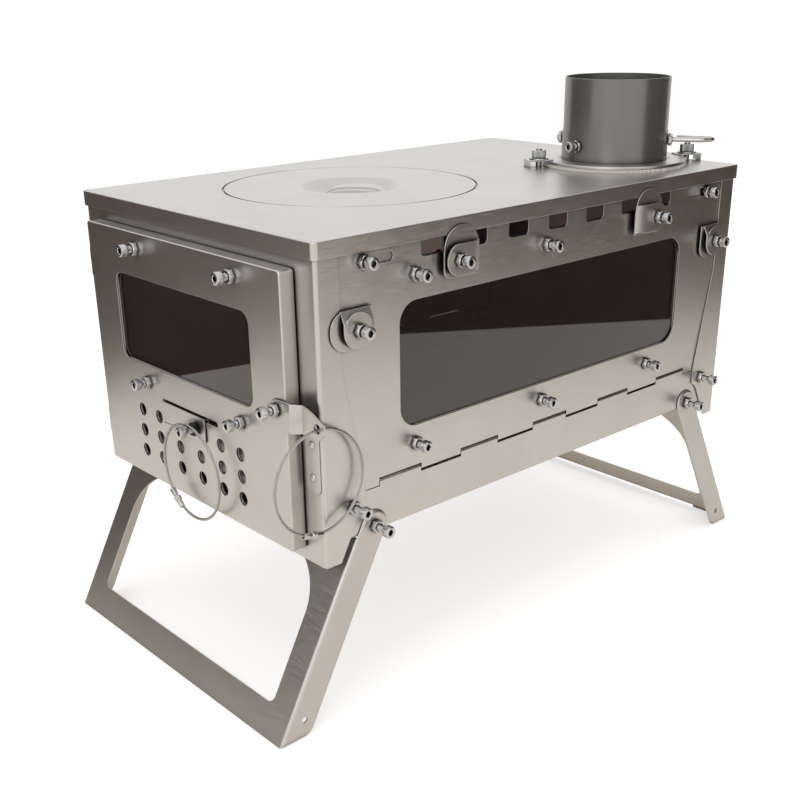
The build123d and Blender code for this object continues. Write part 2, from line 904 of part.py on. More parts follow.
# Turn clips on the corners and over the rim of the top plate
corner_seat = Plane(
    origin=(end_seat, -end_clip_y, end_clip_height), x_dir=(0, -1, 0), z_dir=(1, 0, 0)
)
corner_clip = turn_clip(
    corner_seat, corner_clip_nose, corner_clip_tail, corner_clip_low, corner_clip_fold,
    corner_clip_ledge, corner_clip_plate, corner_clip_nose_round, corner_clip_tail_round,
)
save_clips(corner_clip, "corner_clip")
rim_plane = Plane(origin=(rim_seat, -rim_clip_offset, rim_clip_height), x_dir=(0, 0, 1), z_dir=(1, 0, 0))
rim_clip = turn_clip(
    rim_plane, rim_clip_nose, rim_clip_tail, rim_clip_low, rim_clip_fold,
    rim_clip_ledge, rim_clip_plate, rim_clip_nose_round, rim_clip_tail_round,
)
save_clips(rim_clip, "rim_clip")

# Screws of the clips, with a spacer nut under each clip and a nut over it
clip_depth = clip_step + sheet
corner_tops = [side_seat(end_seat + clip_depth, y, z) for y, z in end_clip_places]
rim_tops = [side_seat(rim_seat + clip_depth, y, z) for y, z in rim_clip_places]
corner_tail = end_seat + clip_depth - side_back + nut_height
rim_tail = rim_seat + clip_depth - retainer_inner + nut_height
corner_screws = screw_group(corner_tops, corner_tail, clip_head_stand)
rim_screws = screw_group(rim_tops, rim_tail, clip_head_stand)
with BuildPart() as clip_screws:
    add(corner_screws)
    add(rim_screws)
save(both_sides(clip_screws.part), "clip_screws")

# Hexagon nuts of the sides: those on the outside, and those behind the sheets
with BuildPart() as outer_nuts:
    add(nut_group([seat.offset(seat_gap) for seat in corner_tops + rim_tops], nut_height))
    add(nut_group([side_seat(side_face, y, z) for y, z in end_clip_places], half_width - side_face))
    add(nut_group([side_seat(side_face, y, z) for y, z in rim_clip_places], rim_face - side_face))
    add(nut_group(glass_seats + flange_seats + pivot_seats + lug_seats, nut_height))
single_inner = [side_seat(side_back - nut_height, y, z) for y, z in end_clip_places + flange_places]
lug_inner = [side_seat(side_back - sheet - nut_height, y, z) for y, z in lug_screw_places]
with BuildPart() as inner_nuts:
    add(nut_group(retainer_seats + single_inner + lug_inner, nut_height))
    add(bosses.part)
save(both_sides(inner_nuts.part), "inner_nuts")

# Socket screws of the side glass, of the end panels and of the lugs
with BuildPart() as side_screws:
    add(glass_screws)
    add(flange_screws)
    add(lug_screws)

# Flue collar, drawn in at its mouth for the pipe, with its flange ring and its gasket
flue_plane = Plane(origin=(flue_x, flue_y, 0), x_dir=(1, 0, 0), z_dir=(0, 0, 1))
damper_way = (cos(radians(damper_angle)), sin(radians(damper_angle)), 0)
screw_way = (cos(radians(collar_screw_angle)), sin(radians(collar_screw_angle)), 0)
damper_cross = Plane(origin=(flue_x, flue_y, damper_height), x_dir=(0, 0, 1), z_dir=damper_way)
screw_cross = Plane(origin=(flue_x, flue_y, collar_screw_height), x_dir=(0, 0, 1), z_dir=screw_way)
with BuildPart() as gasket:
    with BuildSketch(flue_plane.offset(top_height)):
        Circle(flue_flange_radius)
        Circle(collar_radius, mode=Mode.SUBTRACT)
    extrude(amount=flue_gasket_thickness)
save(gasket.part, "flue_gasket")
with BuildPart() as flue_flange:
    with BuildSketch(flue_plane.offset(flue_base)):
        Circle(flue_flange_radius)
        Circle(collar_radius, mode=Mode.SUBTRACT)
    extrude(amount=flue_flange_thickness)
save(flue_flange.part, "flue_flange")
with BuildPart() as collar:
    with BuildSketch(Plane(origin=(flue_x, flue_y, 0), x_dir=(1, 0, 0), z_dir=(0, -1, 0))):
        with BuildLine():
            Polyline(
                (collar_radius, collar_low),
                (collar_radius, collar_mouth_low - collar_mouth_slope),
                (mouth_radius, collar_mouth_low),
                (mouth_radius, collar_top),
                (mouth_radius - sheet, collar_top),
                (mouth_radius - sheet, collar_mouth_low),
                (collar_radius - sheet, collar_mouth_low - collar_mouth_slope),
                (collar_radius - sheet, collar_low),
                close=True,
            )
        make_face()
    revolve(axis=Axis((flue_x, flue_y, 0), (0, 0, 1)))
    with BuildSketch(damper_cross):
        Circle(damper_wire + pin_gap)
    extrude(amount=2 * collar_radius, both=True, mode=Mode.SUBTRACT)
    with BuildSketch(screw_cross):
        Circle(screw_hole)
    extrude(amount=2 * collar_radius, mode=Mode.SUBTRACT)
save(collar.part, "flue_collar")
collar_seat = screw_cross.offset(collar_radius + panel_gap)
with BuildPart() as all_screws:
    add(both_sides(side_screws.part))
    add(screw_group([collar_seat], 2 * sheet, collar_screw_stand))
save(all_screws.part, "body_screws")
with BuildPart() as all_outer_nuts:
    add(both_sides(outer_nuts.part))
    add(nut_group([collar_seat], nut_height - sheet))
save(all_outer_nuts.part, "outer_nuts")


def stud_frame(index):
    """Plane on the flue's axis whose x points to one of the two studs."""
    way = radians(stud_angle + 180 * index)
    return Plane(origin=(flue_x, flue_y, 0), x_dir=(cos(way), sin(way), 0), z_dir=(sin(way), -cos(way), 0))


# Studs of the flue, with their clamp dogs, washers and knurled nuts
dog_top = flue_top + sheet
thumb_base = dog_top + washer_thickness
with BuildPart() as studs:
    for level, radius, height in (
        (under_top - nut_height, head_radius, nut_height),
        (under_top, stud_radius, thumb_base + thumb_height + sheet - under_top),
    ):
        with BuildSketch(flue_plane.offset(level)):
            with PolarLocations(stud_circle, 2, start_angle=stud_angle):
                Circle(radius)
        extrude(amount=height)
save(studs.part, "flue_studs")
with BuildPart() as dogs:
    for index in (0, 1):
        with BuildSketch(stud_frame(index)):
            with BuildLine():
                Polyline(
                    (stud_circle - dog_length / 2, flue_top),
                    (stud_circle + dog_length / 2 - sheet, flue_top),
                    (stud_circle + dog_length / 2 - sheet, top_height),
                    (stud_circle + dog_length / 2, top_height),
                    (stud_circle + dog_length / 2, dog_top),
                    (stud_circle - dog_length / 2, dog_top),
                    close=True,
                )
            make_face()
        extrude(amount=dog_width / 2, both=True)
    with BuildSketch(flue_plane.offset(top_height)):
        with PolarLocations(stud_circle, 2, start_angle=stud_angle):
            Circle(stud_radius)
    extrude(amount=dog_top - top_height, mode=Mode.SUBTRACT)
save(dogs.part, "flue_dogs")
with BuildPart() as washers:
    with BuildSketch(flue_plane.offset(dog_top)):
        with PolarLocations(stud_circle, 2, start_angle=stud_angle):
            Circle(washer_radius)
            Circle(stud_radius, mode=Mode.SUBTRACT)
    extrude(amount=washer_thickness)
save(washers.part, "flue_washers")
with BuildPart() as thumb_nuts:
    with BuildSketch(flue_plane.offset(thumb_base)):
        with PolarLocations(stud_circle, 2, start_angle=stud_angle):
            Circle(thumb_radius)
            Circle(stud_radius, mode=Mode.SUBTRACT)
            with PolarLocations(thumb_radius, thumb_knurls):
                Circle(knurl_radius, mode=Mode.SUBTRACT)
    extrude(amount=thumb_height)
save(thumb_nuts.part, "flue_thumb_nuts")

# Damper: a disc on an axle whose outer end is bent into a handle
damper_plane = Plane(origin=(flue_x, flue_y, damper_height), x_dir=damper_way, z_dir=(0, 0, 1))
axle_end = collar_radius + seat_gap + damper_nut_height + sheet
with BuildPart() as damper_axle:
    with BuildLine(damper_plane) as axle_path:
        FilletPolyline(
            (-axle_end, 0),
            (damper_near_reach, 0),
            (damper_far_reach, damper_tip_offset),
            (damper_return, damper_offset),
            radius=damper_bend,
        )
    with BuildSketch(Plane(origin=axle_path.line @ 0, x_dir=(0, 0, 1), z_dir=damper_way)):
        Circle(damper_wire)
    sweep(path=axle_path.line)
save(damper_axle.part, "damper_axle")
with BuildPart() as damper_disc:
    with BuildSketch(flue_plane.offset(damper_height - sheet / 2)):
        Circle(damper_radius)
    extrude(amount=sheet)
    with BuildSketch(damper_cross):
        Circle(damper_wire + sheet)
    extrude(amount=damper_radius - sheet, both=True)
    with BuildSketch(damper_cross):
        Circle(damper_wire)
    extrude(amount=2 * damper_radius, both=True, mode=Mode.SUBTRACT)
save(damper_disc.part, "damper_disc")
with BuildPart() as damper_nuts:
    for side in (-1, 1):
        with BuildSketch(damper_cross.offset(side * (collar_radius + seat_gap))):
            RegularPolygon(damper_nut_radius, 6)
            Circle(damper_wire, mode=Mode.SUBTRACT)
        extrude(amount=side * damper_nut_height)
save(damper_nuts.part, "damper_nuts")

# Fire door: a folded tray with a window, air holes and a slot for the slider's tab
with BuildPart() as door_shell:
    with BuildSketch(front_plane(door_back)):
        with Locations((0, (door_bottom + door_top) / 2)):
            RectangleRounded(door_width, door_top - door_bottom, door_corner)
    extrude(amount=door_depth)
    fillet(door_shell.faces().sort_by(Axis.Y)[0].edges(), radius=top_edge_round)
    with BuildSketch(front_plane(door_back)):
        with Locations((0, (door_bottom + door_top) / 2)):
            Rectangle(door_width - 2 * sheet, door_top - door_bottom - 2 * sheet)
    extrude(amount=door_depth - sheet, mode=Mode.SUBTRACT)
    with BuildSketch(front_plane(door_skin)):
        with Locations((0, (door_window_bottom + door_window_top) / 2)):
            RectangleRounded(
                door_window_width, door_window_top - door_window_bottom, door_window_corner
            )
        with Locations(*air_holes):
            Circle(air_hole_radius)
        with Locations(*door_screw_places, (latch_x, latch_z)):
            Circle(screw_hole)
        with Locations(((slider_slot_left + slider_slot_right) / 2, slider_tab_height)):
            RectangleRounded(slider_slot_right - slider_slot_left, slider_slot_width, sheet)
    extrude(amount=sheet, mode=Mode.SUBTRACT)
save(door_shell.part, "door_shell")

# Door glass with its gasket, retaining frame, screws and nuts
door_glass_size = (
    door_window_width + 2 * glass_overlap,
    door_window_bottom - glass_overlap,
    door_window_top + glass_overlap,
)
door_hole = (door_window_width, door_window_bottom, door_window_top)
door_glass = framed_sheet(
    front_plane(door_glass_back), glass_thickness, *door_glass_size, 0, 0, 0, door_pane_corner
)
save(door_glass, "door_glass")
door_gasket = framed_sheet(
    front_plane(door_glass_front), gasket_thickness, *door_glass_size, *door_hole, door_pane_corner
)
save(door_gasket, "door_gasket")
with BuildPart() as door_retainer:
    add(
        framed_sheet(
            front_plane(door_retainer_back), sheet, door_retainer_width, door_retainer_bottom,
            door_retainer_top, *door_hole, door_pane_corner,
        )
    )
    with BuildSketch(front_plane(door_retainer_back)):
        with Locations(*door_screw_places):
            Circle(screw_hole)
    extrude(amount=sheet, mode=Mode.SUBTRACT)
save(door_retainer.part, "door_retainer")
door_seats = [door_seat(x, door_front, z) for x, z in door_screw_places]
door_inner = [door_seat(x, door_retainer_back + nut_height, z) for x, z in door_screw_places]
door_tail = door_retainer_back + nut_height - door_front
latch_seat = door_seat(latch_x, door_front, latch_z)
latch_nut_seats = [
    door_seat(latch_x, latch_front - seat_gap, latch_z),
    door_seat(latch_x, door_skin + nut_height, latch_z),
]
with BuildPart() as door_screws:
    add(screw_group(door_seats, door_tail, door_screw_stand))
    add(screw_group([latch_seat], sheet + nut_height, latch_screw_stand))
save(door_screws.part, "door_screws")
save(nut_group(door_seats + door_inner + latch_nut_seats, nut_height), "door_nuts")

# Tab of the air slider, which comes out through the slot and turns down in front of the door
tab_top = slider_tab_height + sheet / 2
with BuildPart() as slider_tab:
    with BuildSketch(Plane.YZ.offset(slider_tab_left)):
        with BuildLine():
            Polyline(
                (slider_back, slider_high - sheet),
                (slider_back, tab_top),
                (tab_front, tab_top),
                (tab_front, slider_tab_low),
                (tab_front + sheet, slider_tab_low),
                (tab_front + sheet, tab_top - sheet),
                (slider_front, tab_top - sheet),
                (slider_front, slider_high - sheet),
                close=True,
            )
        make_face()
    extrude(amount=slider_tab_right - slider_tab_left)
    fillet(slider_tab.edges().filter_by(Axis.Y).group_by(Axis.Z)[0], radius=slider_tab_corner)

# Air slider: a plate with the door's holes, and its tab
with BuildPart() as slider:
    with BuildSketch(front_plane(slider_back)):
        with Locations(((slider_left + slider_right) / 2, (slider_low + slider_high) / 2)):
            Rectangle(slider_right - slider_left, slider_high - slider_low)
        with Locations(*air_holes):
            Circle(air_hole_radius, mode=Mode.SUBTRACT)
    extrude(amount=sheet)
    add(slider_tab.part)
    with BuildSketch(front_plane(door_front)):
        with Locations((knob_x, knob_height)):
            Circle(screw_radius)
    extrude(amount=2 * nut_height, mode=Mode.SUBTRACT)
save(slider.part, "air_slider")
knob_seat = door_seat(knob_x, tab_front, knob_height)
save(screw_group([knob_seat], sheet, knob_stand), "knob_screw")
save(nut_group([knob_seat], nut_height), "knob_nut")

# Guides that hold the slider behind the door's skin
guide_step = seat_gap + panel_gap
with BuildPart() as guides:
    for edge, way in ((slider_low, 1), (slider_high, -1)):
        rest = edge - way * guide_step
        for x in (-guide_reach, guide_reach):
            with BuildSketch(Plane.YZ.offset(x - guide_length / 2)):
                with BuildLine():
                    Polyline(
                        (door_skin, rest),
                        (door_skin, rest - way * guide_foot),
                        (door_skin + sheet, rest - way * guide_foot),
                        (door_skin + sheet, rest - way * sheet),
                        (slider_back + seat_gap + sheet, rest - way * sheet),
                        (slider_back + seat_gap + sheet, edge + way * guide_lap),
                        (slider_back + seat_gap, edge + way * guide_lap),
                        (slider_back + seat_gap, rest),
                        close=True,
                    )
                make_face()
            extrude(amount=guide_length)
save(guides.part, "slider_guides")

# Door hinges: the lower knuckles stay with the frame and the upper ones go with the door
half_leaf = hinge_leaf_height / 2
frame_knuckles = [z - half_leaf for z in hinge_heights]
door_knuckles = [z + seat_gap for z in hinge_heights]
knuckle_height = half_leaf - seat_gap
frame_face = -half_length
with BuildPart() as frame_hinges:
    for z in frame_knuckles:
        with BuildSketch(Plane.XY.offset(z)):
            with Locations((hinge_x, hinge_y)):
                Circle(hinge_barrel)
            with Locations((hinge_x - hinge_barrel + sheet / 2, (hinge_y + frame_face) / 2)):
                Rectangle(sheet, frame_face - hinge_y)
        extrude(amount=half_leaf)
        with BuildSketch(Plane.XY.offset(z)):
            with Locations((hinge_x - hinge_barrel + sheet, frame_face - sheet / 2)):
                Rectangle(hinge_leaf_length, sheet, align=(Align.MAX, Align.CENTER))
        extrude(amount=hinge_leaf_height)
        with BuildSketch(Plane.XY.offset(z)):
            with Locations((hinge_x, hinge_y)):
                Circle(hinge_pin_radius)
        extrude(amount=hinge_leaf_height, mode=Mode.SUBTRACT)
save(frame_hinges.part, "hinge_leaves_frame")
with BuildPart() as door_hinges:
    for z in door_knuckles:
        with BuildSketch(Plane.XY.offset(z)):
            with Locations((hinge_x, hinge_y)):
                Circle(hinge_barrel)
            with Locations((-door_half - sheet / 2, hinge_y)):
                Rectangle(sheet, 2 * hinge_barrel)
            with Locations((hinge_x, hinge_y)):
                Circle(hinge_pin_radius + pin_gap, mode=Mode.SUBTRACT)
        extrude(amount=knuckle_height)
save(door_hinges.part, "hinge_leaves_door")
with BuildPart() as hinge_pins:
    for z in frame_knuckles:
        for level, radius, height in (
            (z - sheet, hinge_barrel, sheet),
            (z, hinge_pin_radius, hinge_leaf_height + seat_gap),
            (z + hinge_leaf_height + seat_gap, hinge_barrel, sheet),
        ):
            with BuildSketch(Plane.XY.offset(level)):
                with Locations((hinge_x, hinge_y)):
                    Circle(radius)
            extrude(amount=height)
save(hinge_pins.part, "hinge_pins")

# Door latch: a plate on a screw whose arm steps back past the door's edge
with BuildPart() as latch:
    with BuildSketch(Plane.XY.offset(latch_low)):
        with BuildLine():
            Polyline(
                (latch_x - latch_eye, latch_front),
                (latch_ramp_start, latch_front),
                (latch_ramp_end, latch_front + latch_drop),
                (latch_reach, latch_front + latch_drop),
                (latch_reach, latch_back + latch_drop),
                (latch_ramp_end - seat_gap, latch_back + latch_drop),
                (latch_ramp_start - seat_gap, latch_back),
                (latch_x - latch_eye, latch_back),
                close=True,
            )
        make_face()
    extrude(amount=2 * latch_drop * latch_eye)
    with BuildSketch(front_plane(door_back)):
        with BuildLine():
            start = (latch_x, latch_z + latch_eye)
            rise = ((latch_x + latch_reach) / 2, latch_top)
            corner = (latch_reach, latch_end_top)
            ThreePointArc(start, rise, corner)
            Polyline(
                corner,
                (latch_reach, latch_low + latch_corner),
                (latch_reach - latch_corner, latch_low),
                (latch_x + latch_eye, latch_low),
                (latch_x, latch_z - latch_eye),
                start,
            )
        make_face()
        with Locations((latch_x, latch_z)):
            Circle(latch_eye)
            Circle(screw_radius + pin_gap, mode=Mode.SUBTRACT)
        with Locations((latch_hole_x, latch_hole_z)):
            Circle(latch_hole_radius, mode=Mode.SUBTRACT)
    extrude(amount=2 * door_depth, mode=Mode.INTERSECT)
save(latch.part, "door_latch")

# Strike bracket on the frame with its rivets
with BuildPart() as strike:
    with BuildSketch(Plane.YZ.offset(strike_left)):
        with BuildLine():
            Polyline(
                (frame_face, strike_low),
                (frame_face, strike_bend),
                (frame_face - strike_bow, strike_top),
                (frame_face - strike_bow - sheet, strike_top),
                (frame_face - sheet, strike_bend),
                (frame_face - sheet, strike_low),
                close=True,
            )
        make_face()
    extrude(amount=strike_right - strike_left)
    with BuildSketch(front_plane(frame_face)):
        with Locations(((strike_left + strike_right) / 2, (strike_low + strike_top) / 2)):
            RectangleRounded(strike_right - strike_left, strike_top - strike_low, strike_corner)
    extrude(amount=door_depth, mode=Mode.INTERSECT)
save(strike.part, "strike_bracket")
with BuildPart() as rivets:
    for z in rivet_heights:
        with BuildSketch(front_plane(frame_face - sheet)):
            with Locations(((strike_left + strike_right) / 2, z)):
                Circle(rivet_radius)
        extrude(amount=rivet_height, taper=rivet_taper)
save(rivets.part, "strike_rivets")


def cable_ring(centre, tilt, clasp_angle):
    """Cable ring with a barrel clasp, built flat and then stood up."""
    with BuildPart() as ring:
        Torus(ring_radius, cable_radius)
        with Locations(Location((0, 0, 0), (0, 0, clasp_angle))):
            with Locations(Location((ring_radius, 0, 0), (90, 0, 0))):
                Cylinder(clasp_radius, clasp_length)
                Cylinder(clasp_band_radius, clasp_band_length)
    return ring.part.moved(Location(centre, tilt))


# Rings on the slider's knob and in the latch
ring_one_y = tab_front - (knob_stand + nut_height) / 2
ring_one_z = knob_height - (ring_radius - cable_radius - screw_radius - pin_gap)
save(cable_ring((knob_x, ring_one_y, ring_one_z), (90, 0, 0), ring_one_clasp), "knob_ring")
ring_two_y = (latch_front + latch_back) / 2 + latch_drop
ring_two_z = latch_hole_z - ring_rest - ring_radius
save(cable_ring((latch_hole_x, ring_two_y, ring_two_z), (0, 90, 0), ring_two_clasp), "latch_ring")

# Fire grate: a slotted plate on two folded sides
with BuildPart() as grate:
    with BuildSketch(Plane.XY.offset(floor_top)):
        Rectangle(grate_width, grate_length)
    extrude(amount=grate_height)
    fillet(grate.edges().filter_by(Axis.Y).group_by(Axis.Z)[-1], radius=corner_radius)
    with BuildSketch(Plane.XY.offset(floor_top)):
        Rectangle(grate_width - 2 * sheet, grate_length)
    extrude(amount=grate_height - sheet, mode=Mode.SUBTRACT)
    with BuildSketch(Plane.XY.offset(floor_top)):
        with GridLocations(grate_width / 2, grate_pitch, grate_columns, grate_rows):
            SlotOverall(grate_slot_length, grate_slot_width)
    extrude(amount=grate_height, mode=Mode.SUBTRACT)
save(grate.part, "fire_grate")
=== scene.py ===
"""Folding tent wood stove: its finishes, its threaded and edge-rounded pieces, and its studio."""

import json
import math

import bmesh
import bpy
from bpy.props import FloatProperty, FloatVectorProperty, IntProperty, PointerProperty
from bpy.types import PropertyGroup
from mathutils import Matrix, Vector


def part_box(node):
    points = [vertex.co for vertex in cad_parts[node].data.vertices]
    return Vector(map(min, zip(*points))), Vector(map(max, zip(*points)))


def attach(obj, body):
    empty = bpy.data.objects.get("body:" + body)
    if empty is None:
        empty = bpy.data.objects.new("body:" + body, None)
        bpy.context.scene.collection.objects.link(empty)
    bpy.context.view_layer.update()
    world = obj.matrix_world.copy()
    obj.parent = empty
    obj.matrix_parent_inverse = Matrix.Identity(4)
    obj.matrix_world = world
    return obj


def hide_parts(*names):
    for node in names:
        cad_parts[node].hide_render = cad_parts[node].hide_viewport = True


bl_info = {
    "name": "Folding tent wood stove",
    "version": (1, 0, 0),
    "blender": (4, 5, 0),
    "location": "View3D > Sidebar > Stove",
    "description": "Finishes and fine pieces of a folding tent wood stove, and a plain studio for it",
    "category": "Object",
}

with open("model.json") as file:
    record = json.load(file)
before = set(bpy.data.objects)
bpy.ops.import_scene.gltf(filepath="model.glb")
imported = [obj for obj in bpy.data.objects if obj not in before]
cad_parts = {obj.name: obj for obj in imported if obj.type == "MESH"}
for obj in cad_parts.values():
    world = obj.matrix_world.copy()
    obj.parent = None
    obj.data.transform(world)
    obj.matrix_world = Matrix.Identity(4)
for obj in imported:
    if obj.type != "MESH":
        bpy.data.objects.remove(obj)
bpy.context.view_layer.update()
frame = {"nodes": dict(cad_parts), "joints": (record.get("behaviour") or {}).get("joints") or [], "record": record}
record = frame["record"]
slot_of_node = {part["node"]: part["material_slot"] for part in record["subparts"]}
body_of_node = {node: body for body, nodes in record["behaviour"]["bodies"].items() for node in nodes}

# How meshes are cleaned and divided: lengths in metres, steps round a full turn
WELD = 1e-6
FLAT_ANGLE = math.radians(0.5)
EDGE_ANGLE = math.radians(38)
CREASE_ANGLE = math.radians(32)
KNURL_CREASE = math.radians(15)
QUARTER_TURN = math.radians(90)
TURN_STEPS = 24
KNURL_STEPS = 80
WIDE_STEPS = 160
DISH_STEPS = 24
STRAP_STEPS = 28
CABLE_STEPS = 12
DOME_STEPS = 6

# Shares of a screw's head, of a nut's height and of the lid's dish
TAIL_BEVEL = 0.08
HEAD_ROUND = 0.12
NUT_BEVEL = 0.3
LID_EDGE = 0.25
STRAP_REACH = 0.58
STRAP_DROP = 0.55
STRAP_EDGE = 0.3
STRAP_BEND = 3.5

# Grains per metre along a rolled sheet, across it, and in an even finish
GRAIN_LONG = 90.0
GRAIN_FINE = 1400.0
GRAIN_EVEN = 2200.0
# Reach of the painted shade that darkens the metals' colour in gaps
PAINTED_SHADE_REACH = 0.005

# Studio: colours and strengths of the floor, the sky and the dark cards
WHITE = (1.0, 1.0, 1.0, 1.0)
FLOOR_SIZE = 14.0
FLOOR_COLOUR = (0.86, 0.85, 0.84, 1.0)
FLOOR_GLOW_SEEN = (0.5, 0.5, 0.5, 1.0)
FLOOR_GLOW_MIRRORED = (0.25, 0.215, 0.165, 1.0)
SKY_SEEN = 1.0
SKY_LIT = 0.62
CARD_COLOUR = (0.092, 0.069, 0.052, 1.0)
LAMP_TARGET = (0.0, 0.0, 0.15)

# Soft lamps: power in watts, size and place in metres, and whether reflections see them
LAMPS = {
    "lamp_top": (9.0, 1.4, (0.2, -0.2, 1.9), False),
    "lamp_front": (5.0, 1.0, (0.9, -1.7, 1.1), True),
}

# Dark cards: way round the stove in degrees, then distance, shift aside, width and height in metres
CARDS = {
    "card_right": (33.2, 0.77, 0.375, 1.15, 1.2),
    "card_left": (192.7, 0.59, 0.45, 1.2, 0.42),
}

# Camera: place in metres, turn in degrees, lens and sensor in millimetres
CAMERA_PLACE = (0.5384, -0.5085, 0.3812)
CAMERA_YAW = 48.265
CAMERA_PITCH = 22.955
CAMERA_ROLL = -0.80
CAMERA_LENS = 50.95
CAMERA_SENSOR = 36.0
CAMERA_SHIFT_X = 0.0044
CAMERA_SHIFT_Y = 0.0907
CAMERA_NEAR = 0.01

# Sheet pieces whose cut edges are rounded, with the share of the usual rounding that each takes
SHEET_NODES = {
    "top_plate": 1.0, "front_frame": 1.0, "rear_panel": 1.0, "floor_pan": 0.8,
    "side_panel_left": 0.8, "side_panel_right": 0.8, "side_retainer_left": 1.0,
    "side_retainer_right": 1.0, "top_lugs": 1.0, "fire_grate": 1.0, "front_leg": 1.3,
    "rear_leg": 1.3, "door_shell": 1.0, "door_retainer": 1.0, "door_latch": 1.0,
    "air_slider": 1.0, "slider_guides": 0.8, "strike_bracket": 1.0, "hinge_leaves_frame": 0.8,
    "hinge_leaves_door": 0.8, "lid_ledge": 1.0,
}
CLIP_NODES = [
    f"{kind}_{end}_{side}"
    for kind in ("corner_clip", "rim_clip")
    for end in ("front", "rear")
    for side in ("left", "right")
]
FLUE_NODES = {"flue_collar": 1.2, "flue_flange": 1.6, "flue_dogs": 1.0, "flue_washers": 0.8}
FINISH_INSTEAD = {"flue_flange": "satin_sheet"}
PANE_NODES = ("door_glass", "side_glass_left", "side_glass_right")
SCREW_NODES = ("body_screws", "clip_screws", "door_screws", "leg_pivot_screws", "knob_screw")
NUT_NODES = ("outer_nuts", "door_nuts", "knob_nut", "damper_nuts")
DOOR_NODES = ("door_screws", "door_nuts", "knob_screw", "knob_nut")

materials = {}


class StoveSizes(PropertyGroup):
    """Sizes of the fine pieces."""

    edge: FloatProperty(
        name="Edge rounding", description="Rounding of a cut sheet edge",
        default=0.00022, subtype="DISTANCE", unit="LENGTH",
    )
    pane_edge: FloatProperty(
        name="Pane edge", description="Polished bevel of a glass pane",
        default=0.0005, subtype="DISTANCE", unit="LENGTH",
    )
    thread_pitch: FloatProperty(
        name="Thread pitch", description="Rise of a screw's thread in one turn",
        default=0.0007, subtype="DISTANCE", unit="LENGTH",
    )
    thread_depth: FloatProperty(
        name="Thread depth", description="How deep the thread is cut",
        default=0.00034, subtype="DISTANCE", unit="LENGTH",
    )
    shank: FloatProperty(
        name="Shank radius", description="Outer radius of a screw's thread",
        default=0.00198, subtype="DISTANCE", unit="LENGTH",
    )
    head: FloatProperty(
        name="Head radius", description="Radius of a socket screw's head",
        default=0.0035, subtype="DISTANCE", unit="LENGTH",
    )
    head_height: FloatProperty(
        name="Head height", description="Height of a socket screw's head",
        default=0.004, subtype="DISTANCE", unit="LENGTH",
    )
    socket: FloatProperty(
        name="Socket radius", description="Radius of the hexagon socket over its corners",
        default=0.00175, subtype="DISTANCE", unit="LENGTH",
    )
    socket_depth: FloatProperty(
        name="Socket depth", description="Depth of the hexagon socket",
        default=0.0022, subtype="DISTANCE", unit="LENGTH",
    )
    nut: FloatProperty(
        name="Nut width", description="Width of a hexagon nut over its flats",
        default=0.007, subtype="DISTANCE", unit="LENGTH",
    )
    knurl: FloatProperty(
        name="Knurl depth", description="Depth of the fine knurls on the flue's round nuts",
        default=0.00018, subtype="DISTANCE", unit="LENGTH",
    )
    strap_aside: FloatProperty(
        name="Strap offset", description="How far the strap sits off the middle of the dish",
        default=0.004, subtype="DISTANCE", unit="LENGTH",
    )
    ring: FloatProperty(
        name="Ring radius", description="Radius of a cable ring along its middle",
        default=0.0285, subtype="DISTANCE", unit="LENGTH",
    )
    cable: FloatProperty(
        name="Cable radius", description="Radius of the twisted cable",
        default=0.0009, subtype="DISTANCE", unit="LENGTH",
    )
    cable_twist: IntProperty(
        name="Cable twist", description="Turns of the strands round one ring", default=16,
    )
    clasp: FloatProperty(
        name="Clasp length", description="Length of a cable ring's barrel clasp",
        default=0.013, subtype="DISTANCE", unit="LENGTH",
    )
    knob_clasp_angle: FloatProperty(
        name="Knob ring clasp", description="Where the clasp sits on the ring of the knob",
        default=math.radians(-130), subtype="ANGLE", unit="ROTATION",
    )
    latch_clasp_angle: FloatProperty(
        name="Latch ring clasp", description="Where the clasp sits on the ring of the latch",
        default=math.radians(-12), subtype="ANGLE", unit="ROTATION",
    )
    dish: FloatProperty(
        name="Dish radius", description="Radius of the lid's pressed dish at its shoulder",
        default=0.0325, subtype="DISTANCE", unit="LENGTH",
    )
    dish_floor: FloatProperty(
        name="Dish floor", description="Radius of the flat middle of the dish",
        default=0.0195, subtype="DISTANCE", unit="LENGTH",
    )
    lid_play: FloatProperty(
        name="Lid play", description="How much smaller the finished lid is than its drawn rim",
        default=0.0004, subtype="DISTANCE", unit="LENGTH",
    )
    strap_width: FloatProperty(
        name="Strap width", description="Width of the strap across the dish",
        default=0.013, subtype="DISTANCE", unit="LENGTH",
    )
    strap_angle: FloatProperty(
        name="Strap angle", description="Way of the strap across the dish",
        default=math.radians(40), subtype="ANGLE", unit="ROTATION",
    )


